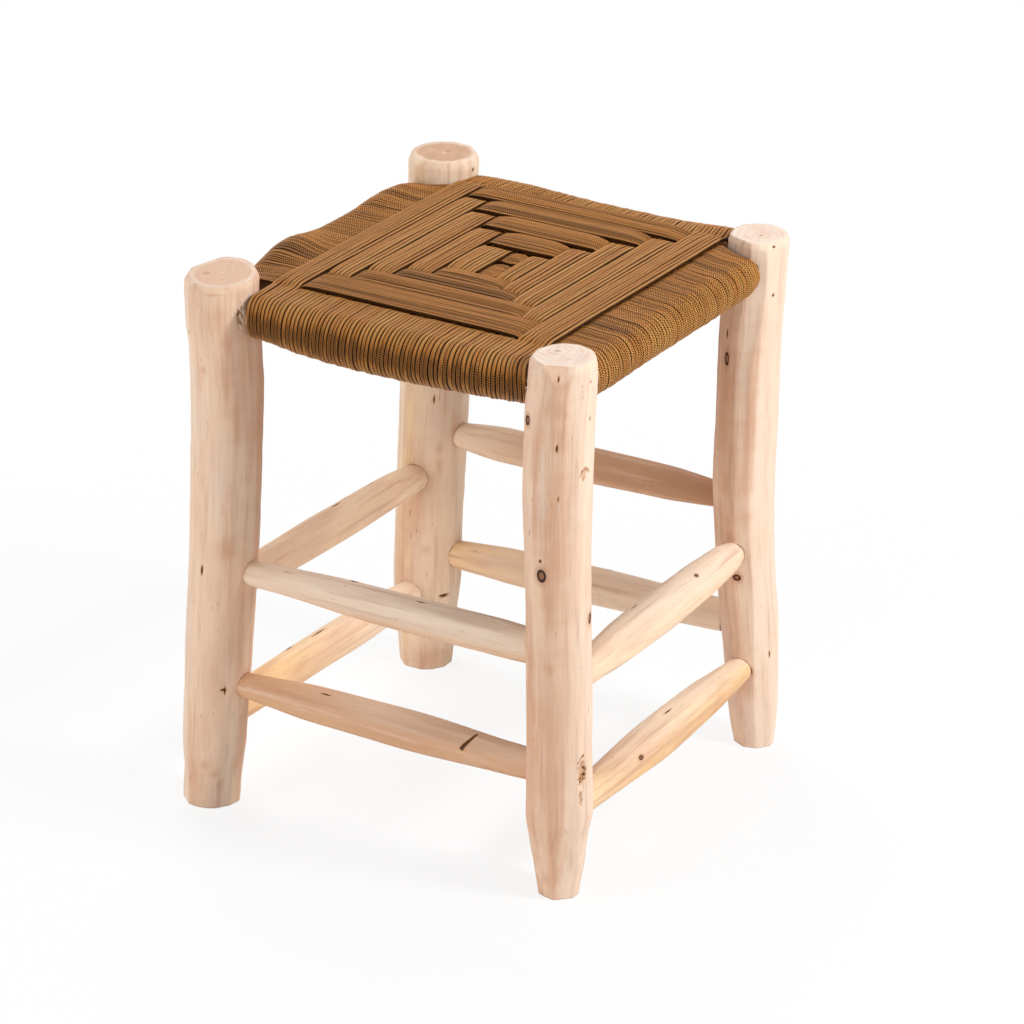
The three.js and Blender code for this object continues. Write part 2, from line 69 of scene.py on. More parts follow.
# Legs: places and widths as the solids have them, then what the photograph shows on them. Turns
# are in degrees, 0 for the right and -90 for the front, but turn, where a round's bulges start,
# is in radians. A profile has the share of the height, the share of the diameter, and the bow as a
# share of the diameter. Each cut has its turn, the height where it starts, the height where it is
# deepest, and its depth. A knot, fleck, chip or stain has its turn, height, half width and half
# length; the stains hold painted shade as well as real stains. A torn fibre has its turn, height,
# length and how far it curls out. The tone is how yellow, pale and tan the wood is, and
# painted_lit_side the turn of a side paler with painted light and how pale it is.
# Stain_and_shade_strength is the strength of the stains and painted shade, and heartwood how brown
# the sawn head is.
LEGS = {
    "front_left": dict(
        side=(-1, -1), height=451.5, diameter=57, turn=0.4, head_out=(0, 0), foot_out=(8.3, 4.3),
        head_slope=(0, 0.13), taper_height=55, pith=(-10.7, -6.2), seed=11,
        tone=(0.2, 0.8, 0.05), painted_lit_side=(-100, 0.1), stain_and_shade_strength=0.5, heartwood=1,
        cuts=[(155, 400, 452, 4.5)], chips=[(-27, 424, 2.6, 9)],
        fibres=[
            (-25, 441, -4, 1.2), (-22, 437, -4.5, 2), (-27, 433, -4, 1.4), (-21, 430, -4.5, 2.2),
            (-26, 426, -4, 1.8), (-22, 422, -4, 1.4), (-26, 418, -4, 1.4),
        ],
        # (8, 350, 18, 100) is the painted shadow of the seat on the leg's right side
        stains_and_painted_shade=[
            (-96, 379, 3, 3), (-70, 446, 7, 1.4), (-62, 426, 4, 14), (-51, 402, 4, 12),
            (-58, 370, 3, 30), (-40, 340, 4, 30), (-54, 229, 8, 10), (-77, 39, 5, 5),
            (-56, 31, 4, 4), (-43, 22, 3, 6), (-9, 37, 3, 7), (8, 350, 18, 100),
            (-22, 365, 8, 60), (-104, 24, 12, 18),
        ],
        profile=[
            (0, 0.79, -0.01), (0.065, 0.82, 0.01), (0.127, 0.89, 0.02), (0.285, 0.925, 0.05),
            (0.53, 0.955, 0.107), (0.71, 0.972, 0.109), (0.8, 0.985, 0.1), (0.865, 1, 0.067),
            (0.92, 1, 0.016), (0.988, 1, 0), (1, 0.93, 0),
        ],
        knots=[(60, 250, 3, 4), (150, 180, 3, 3.5)],
        flecks=[
            (-126, 406, 1, 2), (-97, 209, 1, 4), (-47, 107, 2.2, 1), (-43, 106, 0.8, 3.4),
            (120, 330, 0.7, 3), (40, 120, 0.8, 3),
        ],
    ),
    "front_right": dict(
        side=(1, -1), height=450, diameter=53, turn=1.3, head_out=(1.4, 2.8), foot_out=(3.8, -5),
        head_slope=(0, 0.03), taper_height=75, pith=(-8.7, 5.4), seed=12,
        tone=(0.05, 0.4, 0.1), painted_lit_side=(15, 0.6), stain_and_shade_strength=0.5, heartwood=0.05,
        cuts=[(-66, 435, 450, 5.5), (-36, 440, 450, 3), (-112, 300, 350, 1.8)],
        chips=[(-13, 362, 4.6, 5.5), (-16, 112, 5, 12), (-20, 91, 1.6, 7), (-148, 425, 2.4, 6)],
        fibres=[
            (-147, 434, -4, 1.6), (-151, 431, -5, 2.4), (-145, 428, -4, 2), (-152, 425, -4.5, 3),
            (-148, 421, -4, 2),
        ],
        stains_and_painted_shade=[
            (-65, 416, 8, 9), (-60, 393, 6, 12), (-94, 325, 7, 26), (-77, 202, 4, 5),
            (-93, 18, 4, 5), (-62, 320, 8, 75), (-117, 120, 8, 70),
        ],
        profile=[
            (0, 0.6, 0.01), (0.06, 0.75, 0.015), (0.12, 0.89, 0), (0.155, 0.975, 0.01),
            (0.31, 0.97, 0), (0.52, 0.96, -0.036), (0.67, 0.975, -0.062), (0.76, 1.01, -0.062),
            (0.9, 1.01, -0.04), (0.985, 0.97, 0), (1, 0.9, 0),
        ],
        knots=[
            (-126, 402, 2.4, 4.2), (-88, 280, 3.9, 5.4), (10, 239.5, 2.6, 4.6), (100, 300, 3, 4),
            (165, 220, 3.4, 4.4),
        ],
        flecks=[
            (-64, 386, 0.8, 3.2), (-69, 441, 0.7, 2.2), (-7, 436, 0.5, 1.4), (-2, 406, 0.6, 1.8),
            (-135, 213, 0.7, 5), (-90, 292, 1.2, 1.2), (-60, 345, 0.5, 2.5), (-14, 127, 1.4, 0.8),
            (80, 180, 0.8, 3),
        ],
    ),
    "back_right": dict(
        side=(1, 1), height=449, diameter=51, turn=2.6, head_out=(-3.5, -7), foot_out=(5.6, 7.8),
        head_slope=(0, 0.02), taper_height=60, pith=(3, -2), seed=13,
        tone=(0.1, 0.5, 0.05), painted_lit_side=(-5, 0.7), stain_and_shade_strength=0.6, heartwood=0.1,
        cuts=[(-110, 400, 440, 4.4)], chips=[(-66, 428, 1.4, 3)], fibres=[],
        # (-112, 330, 12, 90) is painted shade on the leg's inner left side
        stains_and_painted_shade=[
            (-112, 330, 12, 90), (-58, 290, 6, 80), (-60, 321, 4, 3), (-90, 193, 6, 5),
            (-80, 160, 8, 8), (-63, 72, 4, 6), (-75, 60, 6, 14),
        ],
        profile=[
            (0, 0.66, -0.02), (0.05, 0.78, -0.03), (0.18, 0.9, -0.07), (0.27, 0.96, -0.115),
            (0.4, 0.96, -0.175), (0.53, 1, -0.2), (0.65, 1, -0.16), (0.8, 1, -0.108),
            (0.92, 0.98, -0.03), (0.988, 0.965, 0.02), (1, 0.9, 0.02),
        ],
        knots=[(-108, 348, 2.4, 6), (-80, 158, 3.4, 2.8), (40, 300, 3.4, 4.6), (120, 160, 3, 4)],
        flecks=[
            (-112, 369, 0.8, 4), (-32, 446, 1.2, 0.9), (-27, 405, 1, 1.2), (-148, 447, 0.8, 0.8),
            (-66, 428, 1.2, 3.5), (-22, 88, 0.6, 3), (-63, 73, 1, 2.2), (20, 200, 0.7, 4),
        ],
    ),
    "back_left": dict(
        side=(-1, 1), height=457, diameter=58, turn=0.9, head_out=(-4.4, 1.9), foot_out=(1.2, -6.2),
        head_slope=(0, 0), taper_height=50, pith=(1, 3), seed=14,
        # Its paleness is partly painted light, for the seat's shade on it
        tone=(1, 1, 0), painted_lit_side=(-10, 0.9), stain_and_shade_strength=0.5, heartwood=2.2,
        cuts=[(-20, 444, 457, 2)], chips=[(-27, 70, 5, 1)], fibres=[],
        stains_and_painted_shade=[
            (-48, 205, 3, 7), (-47, 190, 3, 7), (-65, 114, 5, 5), (-20, 220, 5, 10),
            (-86, 160, 12, 40), (-64, 10, 30, 16),
        ],
        profile=[
            (0, 0.77, -0.005), (0.045, 0.835, -0.005), (0.11, 0.92, -0.03), (0.175, 1, -0.031),
            (0.4, 0.985, -0.016), (0.53, 1, -0.012), (0.8, 0.985, 0), (0.985, 0.985, 0.007),
            (1, 0.92, 0.007),
        ],
        knots=[(150, 330, 3, 4.2), (70, 210, 3.4, 4.6)],
        flecks=[(-4, 448, 1, 1.5), (-27, 70, 4.2, 1.2), (-60, 250, 0.6, 4), (100, 120, 0.8, 4)],
    ),
}

# Sides of the stool: the axis along each, which way it faces, and the legs at its two ends
SIDES = {
    "front": (0, -1, ("front_left", "front_right")),
    "back": (0, 1, ("back_left", "back_right")),
    "left": (1, -1, ("front_left", "back_left")),
    "right": (1, 1, ("front_right", "back_right")),
}

# Crease of dark resin across a rung: marks in a row, each further round and longer than the last
RESIN_CREASE = [
    (102 + 6 * step, 0.822 - 0.0028 * step, 1.6, 0.9 + 0.1 * step) for step in range(11)
]

# Rungs: heights at both ends and widths as the solids have them. A mark is its turn in degrees, its
# share of the clear length, and its half width and half length. A turn of 90 is up, and 0 is level,
# to the left of the way from the first leg to the second. The tones are those at the two ends.
# painted_lit_side is the turn of a side paler with painted light from above, and how pale it is
RUNGS = {
    "front_upper": dict(
        heights=(204, 205.7), diameter=31, turn=0.1, seed=21,
        tones=((0, 0.75, 0.3), (0, 0.6, 0.4)), painted_lit_side=(100, 0.8), knots=[(60, 0.36, 2.2, 3)],
        flecks=[(100, 0.62, 0.7, 4), (40, 0.8, 0.6, 5)],
        profile=[(0, 0.68), (0.18, 0.84), (0.36, 0.955), (0.55, 0.975), (0.85, 1), (1, 0.93)],
    ),
    "front_lower": dict(
        heights=(106.5, 103.9), diameter=34, turn=0.3, seed=22,
        tones=((0.7, 0, 0.95), (0.4, 0, 0.95)), painted_lit_side=(100, 0.9), knots=[],
        flecks=[*RESIN_CREASE, (110, 0.3, 0.7, 5)],
        profile=[(0, 0.6), (0.1, 0.74), (0.25, 0.905), (0.55, 1), (0.8, 0.89), (1, 0.74)],
    ),
    "right_upper": dict(
        heights=(174.6, 178.5), diameter=35.8, turn=0.2, seed=23,
        tones=((0.3, 0.5, 0.15), (0.3, 0.5, 0.1)), painted_lit_side=(90, 0.5),
        knots=[(120, 0.7, 1.6, 2.4)], flecks=[(70, 0.4, 0.7, 5)],
        profile=[
            (0, 0.68), (0.1, 0.78), (0.3, 0.96), (0.5, 1), (0.75, 0.96), (0.94, 0.76), (1, 0.6),
        ],
    ),
    "right_lower": dict(
        heights=(64.7, 74), diameter=35, turn=0.5, seed=24,
        tones=((0.9, 0.4, 0), (0.9, 0.2, 0.3)), painted_lit_side=(70, 0.6),
        knots=[(150, 0.3, 2, 3)], flecks=[(90, 0.55, 0.8, 6)],
        profile=[
            (0, 0.66), (0.1, 0.77), (0.3, 0.92), (0.45, 0.99), (0.73, 0.92), (0.93, 0.7), (1, 0.62),
        ],
    ),
    "left_upper": dict(
        heights=(182, 177.2), diameter=32.4, turn=0, seed=25,
        tones=((0.5, 0.5, 0.1), (0.5, 0.5, 0.1)), painted_lit_side=(90, 0),
        knots=[(60, 0.62, 2.2, 4)], flecks=[(80, 0.55, 1, 6), (60, 0.78, 0.8, 5)],
        profile=[(0, 0.76), (0.15, 0.92), (0.5, 1), (0.85, 0.93), (1, 0.76)],
    ),
    "left_lower": dict(
        heights=(71, 71.2), diameter=32, turn=0.4, seed=26,
        tones=((1, 0, 0.3), (1, 1.1, 0)), painted_lit_side=(90, 0),
        knots=[(50, 0.35, 2.4, 5)], flecks=[(70, 0.5, 1.5, 9)],
        profile=[(0, 0.88), (0.15, 0.96), (0.5, 1), (0.85, 0.91), (1, 0.74)],
    ),
    # Its near end is paler with painted light, and its far end's deep tan is painted shade where
    # the seat and the front right leg shade it
    "back_upper": dict(
        heights=(212.3, 217.6), diameter=33, turn=0.2, seed=27,
        tones=((1, 0.9, 0), (0.2, 0, 1.6)), painted_lit_side=(90, 0),
        knots=[(-60, 0.4, 2.6, 4)], flecks=[(60, 0.3, 0.7, 5)],
        profile=[(0, 0.68), (0.2, 0.99), (0.5, 0.95), (0.8, 0.9), (1, 0.67)],
    ),
    "back_lower": dict(
        heights=(103.8, 109), diameter=33, turn=0.6, seed=28,
        tones=((0.8, 0.3, 0.1), (0.8, 1.2, 0)), painted_lit_side=(90, 0),
        knots=[(60, 0.56, 2.4, 3)], flecks=[(40, 0.8, 0.8, 5)],
        profile=[(0, 0.73), (0.2, 0.93), (0.5, 1), (0.8, 0.965), (1, 0.83)],
    ),
}

# Where the edges between the cord bands lie, as shares of half the seat frame
LONG_BAND_EDGE_SHARES = (
    -0.812, -0.655, -0.51, -0.352, -0.194, -0.01, 0.102, 0.214, 0.339, 0.49, 0.628, 0.813,
)
CROSS_BAND_EDGE_SHARES = (
    -0.814, -0.587, -0.436, -0.323, -0.203, 0.005, 0.175, 0.376, 0.559, 0.729, 0.905,
)


# Camera, light and floor


def placed(name, data):
    """Object made of some data, in the scene."""
    thing = bpy.data.objects.new(name, data)
    bpy.context.scene.collection.objects.link(thing)
    return thing


def way_out(azimuth, elevation):
    """Way from the stool towards a place on a sphere round it: from the front, turned by the
    azimuth and raised by the elevation, in degrees."""
    turn, rise = math.radians(azimuth), math.radians(elevation)
    level = math.cos(rise)
    return Vector((math.sin(turn) * level, -math.cos(turn) * level, math.sin(rise)))


def photo_camera():
    """Camera on a sphere round the target. The roll turns its right and up in the picture."""
    back = way_out(CAMERA_AZIMUTH, CAMERA_ELEVATION)
    aside = way_out(CAMERA_AZIMUTH + 90, 0)
    upright = back.cross(aside)
    right = aside * math.cos(CAMERA_ROLL) + upright * math.sin(CAMERA_ROLL)
    up = upright * math.cos(CAMERA_ROLL) - aside * math.sin(CAMERA_ROLL)
    data = bpy.data.cameras.new("photo_camera")
    data.sensor_width = CAMERA_SENSOR
    data.lens = CAMERA_LENS
    data.shift_x, data.shift_y = CAMERA_SHIFT
    camera = placed("photo_camera", data)
    place = Matrix.Translation((CAMERA_TARGET + back * CAMERA_DISTANCE) * MM)
    camera.matrix_world = place @ Matrix((right, up, back)).transposed().to_4x4()
    bpy.context.scene.camera = camera


def softbox(name, azimuth, elevation, distance, size, power):
    """Square lamp on a sphere round the stool, facing it. Distance and size are in metres."""
    back = way_out(azimuth, elevation)
    data = bpy.data.lights.new(name, "AREA")
    data.size = size
    data.energy = power
    lamp = placed(name, data)
    lamp.location = CAMERA_TARGET * MM + back * distance
    lamp.rotation_mode = "QUATERNION"
    lamp.rotation_quaternion = back.to_track_quat("Z", "Y")


# Shaders


def linear(hex_colour):
    """Linear colour of an sRGB hex value."""
    parts = [int(hex_colour[i : i + 2], 16) / 255 for i in (1, 3, 5)]
    curved = [p / 12.92 if p <= 0.04045 else ((p + 0.055) / 1.055) ** 2.4 for p in parts]
    return (*curved, 1)


def add(tree, kind, inputs=None, **settings):
    """Adds a node with its settings. Each input takes a value, or a link from an output, or from a
    node's first output."""
    node = tree.nodes.new(kind)
    for name, value in settings.items():
        setattr(node, name, value)
    for socket, value in (inputs or {}).items():
        if isinstance(value, bpy.types.Node):
            value = value.outputs[0]
        if isinstance(value, bpy.types.NodeSocket):
            tree.links.new(value, node.inputs[socket])
        else:
            node.inputs[socket].default_value = value
    return node


def new_material(name):
    """Material with no node yet: returns it and its node tree."""
    material = bpy.data.materials.new(name)
    material.use_nodes = True
    material.node_tree.nodes.clear()
    return material, material.node_tree


def grain_patterns(tree, coordinates, sizes):
    """Noise stretched along the grain, one for each (across, along, detail) size in millimetres."""
    patterns = {}
    for name, (across, along, detail) in sizes.items():
        stretch = (1 / (across * MM), 1 / (across * MM), 1 / (along * MM))
        inputs = {0: coordinates, 1: stretch}
        scaled = add(tree, "ShaderNodeVectorMath", inputs, operation="MULTIPLY")
        inputs = {"Vector": scaled, "Scale": 1, "Detail": detail}
        patterns[name] = add(tree, "ShaderNodeTexNoise", inputs)
    return patterns


def layered(tree, colour, layers):
    """Colours laid over each other: (pattern, where it starts, where it is full, strength, hex)."""
    for pattern, start, full, strength, hex_colour in layers:
        share = add(tree, "ShaderNodeMapRange", {
            "Value": pattern, "From Min": start, "From Max": full, "To Min": 0, "To Max": strength,
        }, interpolation_type="SMOOTHSTEP")
        inputs = {0: share, 6: colour, 7: linear(hex_colour)}
        colour = add(tree, "ShaderNodeMix", inputs, data_type="RGBA").outputs[2]
    return colour


def attribute_parts(tree, name):
    """The three values that each point of a mesh has under a name."""
    stored = add(tree, "ShaderNodeAttribute", attribute_name=name).outputs["Vector"]
    return tuple(add(tree, "ShaderNodeSeparateXYZ", {0: stored}).outputs)


def seen_straight(tree):
    """One for what the camera, a mirror or glass shows, and nothing for light that only spreads."""
    path = add(tree, "ShaderNodeLightPath").outputs
    seen = path["Is Camera Ray"]
    for ray in ("Is Glossy Ray", "Is Transmission Ray"):
        seen = add(tree, "ShaderNodeMath", {0: seen, 1: path[ray]}, operation="MAXIMUM")
    return seen


def give_surface(tree, colour, relief, looks):
    """Ends a material with its surface. The relief is (pattern, strength, depth in metres)."""
    height, strength, depth = relief
    dents = add(tree, "ShaderNodeBump", {"Height": height, "Strength": strength, "Distance": depth})
    shader = add(tree, "ShaderNodeBsdfPrincipled", {"Base Color": colour, "Normal": dents, **looks})
    add(tree, "ShaderNodeOutputMaterial", {0: shader})


def bare_wood(name, pale, tan, roughness):
    """Unfinished poplar, drawknifed with the bark off: chalky, with soft long streaks of pinkish
    tan, fine pores along the grain, brown flecks, and knots with a dark ring round a paler eye.
    The mesh says how yellow, pale and tan each point is, and how far the nearest marks are."""
    material, tree = new_material(name)
    grain = add(tree, "ShaderNodeAttribute", attribute_name="grain").outputs["Vector"]
    yellow, paleness, tanness = attribute_parts(tree, "tone")
    knot, fleck, mouth = attribute_parts(tree, "mark")
    pattern = grain_patterns(tree, grain, {
        "stain": (30, 120, 3), "patch": (11, 45, 3), "streak": (5, 110, 4), "fibre": (1.1, 30, 3),
        "fleck": (3, 14, 2), "pore": (0.45, 7, 2),
    })
    inputs = {0: yellow, 6: linear(pale), 7: linear("#f6cf98")}
    base = add(tree, "ShaderNodeMix", inputs, data_type="RGBA").outputs[2]
    colour = layered(tree, base, [
        (pattern["stain"], 0.45, 0.66, 0.6, tan),
        (pattern["stain"], 0.46, 0.3, 0.5, "#dfc0b2"),
        (pattern["patch"], 0.5, 0.7, 0.55, "#d99f74"),
        (paleness, 0, 1, 0.75, "#f4dfca"),
        (tanness, 0, 1, 0.8, tan),
        (tanness, 1, 2, 0.8, "#a5704b"),
        (pattern["streak"], 0.52, 0.74, 0.42, "#bf8d74"),
        (pattern["streak"], 0.46, 0.3, 0.3, "#f4dfcc"),
        (pattern["fibre"], 0.52, 0.75, 0.25, "#bb8d6f"),
        (pattern["fleck"], 0.7, 0.78, 0.5, "#9a6846"),
        (knot, 2.3, 1.05, 0.5, "#c08a69"),
        (knot, 1.15, 0.9, 1, "#3d2112"),
        (knot, 0.66, 0.45, 0.85, "#9a6b4b"),
        (fleck, 1.5, 1.15, 0.85, "#bb8450"),
        (fleck, 1.1, 0.75, 1, "#4d2d19"),
        (mouth, 0.5, 0, 0.7, "#6b4128"),
    ])
    fine = add(tree, "ShaderNodeMath", {0: pattern["pore"], 1: pattern["fibre"]}, operation="ADD")
    give_surface(tree, colour, (fine, 0.35, 0.4 * MM), {
        "Roughness": roughness, "IOR": 1.45, "Specular IOR Level": 0.3,
    })
    return material


def sawn_end_grain(name):
    """Saw-cut head of a poplar log: growth rings round the pith, a brown heart, and fine parallel
    saw scratches. The rings are sines of a radius that a noise bends."""
    material, tree = new_material(name)
    ring_width, bending, scratch_width = 5.4 * MM, 9 * MM, 0.7 * MM
    grain = add(tree, "ShaderNodeAttribute", attribute_name="grain").outputs["Vector"]
    brown, rim, _ = attribute_parts(tree, "tone")
    flat = add(tree, "ShaderNodeVectorMath", {0: grain, 1: (1, 1, 0)}, operation="MULTIPLY")
    bend = add(tree, "ShaderNodeTexNoise", {"Vector": grain, "Scale": 1 / (14 * MM), "Detail": 2})
    length = add(tree, "ShaderNodeVectorMath", {0: flat}, operation="LENGTH").outputs["Value"]
    radius = add(tree, "ShaderNodeMath", {0: bend, 1: bending, 2: length}, operation="MULTIPLY_ADD")
    turns_per_metre = 2 * math.pi / ring_width
    turn = add(tree, "ShaderNodeMath", {0: radius, 1: turns_per_metre}, operation="MULTIPLY")
    ring = add(tree, "ShaderNodeMath", {0: turn}, operation="SINE")
    stretch = (1 / (9 * MM), 1 / scratch_width, 1 / (9 * MM))
    stretched = add(tree, "ShaderNodeVectorMath", {0: grain, 1: stretch}, operation="MULTIPLY")
    scratch = add(tree, "ShaderNodeTexNoise", {"Vector": stretched, "Scale": 1, "Detail": 2})
    colour = layered(tree, linear("#e6d2c4"), [
        (brown, 0.05, 0.35, 0.7, "#d6af92"),
        (brown, 0.5, 3, 0.9, "#b88f70"),
        (bend, 0.45, 0.7, 0.4, "#d9b297"),
        (rim, 0, 1, 0.55, "#f0ddcb"),
        (ring, 0.3, 1, 0.2, "#c39a7e"),
        (scratch, 0.5, 0.75, 0.3, "#cda78b"),
        (radius, 8 * MM, 6 * MM, 0.5, "#ad8063"),
    ])
    give_surface(tree, colour, (scratch, 0.4, 0.5 * MM), {
        "Roughness": 0.85, "IOR": 1.45, "Specular IOR Level": 0.2,
    })
    return material


def braided_cord(name):
    """Braided viscose cord: a soft sheen and a painted highlight on the crossings of the braid,
    which cross in two directions, painted shade in the recesses between the picks, and nearly black
    painted shade in the grooves where the cords touch. The map's u runs once round the cord and its
    v counts the picks along it. The two lays of the braid are sines of u plus v and u minus v."""
    material, tree = new_material(name)
    braid = add(tree, "ShaderNodeUVMap", uv_map="braid")
    around, along, _ = add(tree, "ShaderNodeSeparateXYZ", {0: braid}).outputs
    dye_and_painted_light = add(tree, "ShaderNodeAttribute", attribute_name="dye_and_painted_light").outputs["Fac"]
    lays = []
    for lean in (1, -1):
        leaning = add(tree, "ShaderNodeMath", {0: along, 1: lean}, operation="MULTIPLY")
        inputs = {0: around, 1: BRAID_CARRIERS, 2: leaning}
        place = add(tree, "ShaderNodeMath", inputs, operation="MULTIPLY_ADD")
        turn = add(tree, "ShaderNodeMath", {0: place, 1: math.pi}, operation="MULTIPLY")
        lays.append(add(tree, "ShaderNodeMath", {0: turn}, operation="SINE"))
    crossing_highlight = add(tree, "ShaderNodeMath", {0: lays[0], 1: lays[1]}, operation="MULTIPLY")
    pick = add(tree, "ShaderNodeMath", {0: crossing_highlight}, operation="ABSOLUTE")
    place = add(tree, "ShaderNodeTexCoord").outputs["Object"]
    fade = add(tree, "ShaderNodeTexNoise", {"Vector": place, "Scale": 1 / (22 * MM), "Detail": 3})
    # Painted shade in the grooves where the cords touch, by how far round each cord faces sideways
    turn = add(tree, "ShaderNodeMath", {0: around, 1: 2 * math.pi}, operation="MULTIPLY")
    side = add(tree, "ShaderNodeMath", {0: turn}, operation="COSINE")
    side = add(tree, "ShaderNodeMath", {0: side}, operation="ABSOLUTE")
    colour = layered(tree, linear("#e08e42"), [
        # These layers carry each cord's own dye, the painted sheen of its band, and the painted
        # light and shade on the rails
        (dye_and_painted_light, 0.5, 1, 0.8, "#f0ae5c"),
        (dye_and_painted_light, 0.5, 0, 0.85, "#73401a"),
        (fade, 0.5, 0.75, 0.4, "#9c602a"),
        # Painted highlight on the crossings, painted shade between the picks, and painted shade in
        # the grooves
        (crossing_highlight, 0, 0.8, 0.6, "#f4bd76"),
        (pick, 0.7, 0.1, 0.92, "#3a1d0b"),
        (side, 0.5, 0.92, 0.95, "#1e0e05"),
    ])
    give_surface(tree, colour, (pick, 0.8, 0.5 * MM), {
        "Roughness": 0.4, "IOR": 1.5, "Specular IOR Level": 0.25,
        "Specular Tint": linear("#eda45c"),
    })
    return material


def paper_floor(name):
    """White paper sweep. Where it is seen straight it also glows, wholly far from the stool and a
    little less beside it, so that it is white but keeps the stool's soft shadow."""
    material, tree = new_material(name)
    paper = add(tree, "ShaderNodeBsdfDiffuse", {"Color": linear("#f4f4f4")})
    glow = add(tree, "ShaderNodeEmission", {"Color": linear("#ffffff"), "Strength": 1})
    middle = add(tree, "ShaderNodeTexCoord").outputs["Object"]
    away = add(tree, "ShaderNodeVectorMath", {0: middle}, operation="LENGTH").outputs["Value"]
    part = add(tree, "ShaderNodeMapRange", {
        "Value": away, "From Min": 0.25, "From Max": 0.9, "To Min": 0.84, "To Max": 1,
    }, interpolation_type="SMOOTHSTEP")
    share = add(tree, "ShaderNodeMath", {0: seen_straight(tree), 1: part}, operation="MULTIPLY")
    mixed = add(tree, "ShaderNodeMixShader", {0: share, 1: paper, 2: glow})
    add(tree, "ShaderNodeOutputMaterial", {0: mixed})
    return material


def white_world():
    """Even studio light from all round, seen as plain white."""
    world = bpy.data.worlds.new("studio")
    world.use_nodes = True
    tree = world.node_tree
    tree.nodes.clear()
    room = add(tree, "ShaderNodeBackground", {0: linear("#ffffff"), 1: ROOM_LIGHT})
    white = add(tree, "ShaderNodeBackground", {0: linear("#ffffff"), 1: 1})
    mixed = add(tree, "ShaderNodeMixShader", {0: seen_straight(tree), 1: room, 2: white})
    add(tree, "ShaderNodeOutputWorld", {0: mixed})
    bpy.context.scene.world = world


# Shapes


def read_table(rows, places, column):
    """Smooth curve through a table's rows without overshoot: a cubic between two rows, whose slope
    at a row is the harmonic mean of the slopes beside it, or nothing where those change sign."""
    table = np.array(rows, float)
    steps = np.diff(table[:, 0])
    slopes = np.diff(table[:, column]) / steps
    same_sign = slopes[:-1] * slopes[1:] > 0
    total = np.where(same_sign, slopes[:-1] + slopes[1:], 1)
    inner = np.where(same_sign, 2 * slopes[:-1] * slopes[1:] / total, 0)
    tangents = np.concatenate([slopes[:1], inner, slopes[-1:]])
    row = np.clip(np.searchsorted(table[:, 0], places) - 1, 0, len(steps) - 1)
    share = (places - table[row, 0]) / steps[row]
    low, high = table[row, column], table[row + 1, column]
    rest = 1 - share
    return (
        rest**2 * ((1 + 2 * share) * low + share * steps[row] * tangents[row])
        + share**2 * ((1 + 2 * rest) * high - rest * steps[row] * tangents[row + 1])
    )


def ease(share):
    """Goes from nothing to one with level ends, held level beyond them."""
    held = np.clip(share, 0, 1)
    return held * held * (3 - 2 * held)


def wander(places, length, draw):
    """Slowly changing value, mostly within one of zero: the sum of five sines, the shortest of them
    as long as length and each of the others longer, with phases drawn by chance."""
    value = np.zeros_like(places, float)
    for order in range(5):
        value = value + np.sin(2 * np.pi * (places / (length * (1 + 0.7 * order)) + draw.random()))
    return value / 2.5


def smooth_least(first, second, softness):
    """The lesser of two values, rounded where they meet."""
    share = np.clip(0.5 + 0.5 * (second - first) / softness, 0, 1)
    return second + (first - second) * share - softness * share * (1 - share)


def uneven_round(radius, turn, start, share):
    """Round section with two low bulges and three smaller ones, never wider than the radius."""
    return radius * (1 + share * (np.cos(2 * (turn - start)) + 0.5 * np.cos(3 * turn + start) - 1))


def turned_from(turn, middle):
    """How far turns are from a middle one the short way round, in radians."""
    return (turn - middle + np.pi) % (2 * np.pi) - np.pi


def flat_reach(turn, middle, distance):
    """Reach of a flat that faces a middle turn at a distance: the distance over the cosine of the
    turn away from it, held where the flat would run off."""
    return distance / np.cos(np.clip(turned_from(turn, middle), -1.2, 1.2))


def unit(ways):
    """Ways divided by their lengths."""
    return ways / np.linalg.norm(ways, axis=-1, keepdims=True)


def round_turns(count):
    """Turns spread evenly once round, in a row."""
    return np.linspace(0, 2 * np.pi, count, endpoint=False)[None, :]


def falling_back(radius, aside):
    """How far a round face falls back beside its middle: the radius less the root of the radius
    squared less the distance aside squared."""
    return radius - np.sqrt(radius**2 - aside**2)


# Knife strokes: how far one is off its even place as a share of the step between them, how far it
# sways in radians and how deep it is as shares of the full depth, both wandering along the wood
STROKE_SHIFT = 0.3
STROKE_SWAY, SWAY_LENGTH = 0.12, 150
STROKE_SHARES = (0.55, 0.9)
STROKE_DIP, DIP_LENGTH = 0.3, 110


def knifed(reach, turn, along, radius, strokes, depth, softness, draw):
    """Section cut by long flat knife strokes. A stroke's flat lies at a wandering turn and depth,
    and the section takes the smooth least of its reach and the flat's in each direction."""
    for stroke in range(strokes):
        middle = 2 * np.pi * (stroke + draw.uniform(-STROKE_SHIFT, STROKE_SHIFT)) / strokes
        middle = middle + STROKE_SWAY * wander(along, SWAY_LENGTH, draw)
        share = draw.uniform(*STROKE_SHARES) + STROKE_DIP * wander(along, DIP_LENGTH, draw)
        cut = depth * np.clip(share, 0, 1.3)
        reach = smooth_least(reach, flat_reach(turn, middle, radius - cut), softness)
    return reach


def frame_centre():
    """Middle of the seat frame, and half of the width and depth between its rails' centre lines."""
    middles = {
        side: [(low + high) / 2 / MM for low, high in zip(*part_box("seat_rail_" + side))]
        for side in SIDES
    }
    left, right = middles["left"][0], middles["right"][0]
    front, back = middles["front"][1], middles["back"][1]
    return ((left + right) / 2, (front + back) / 2), ((right - left) / 2, (back - front) / 2)


CENTRE, HALF_FRAME = frame_centre()


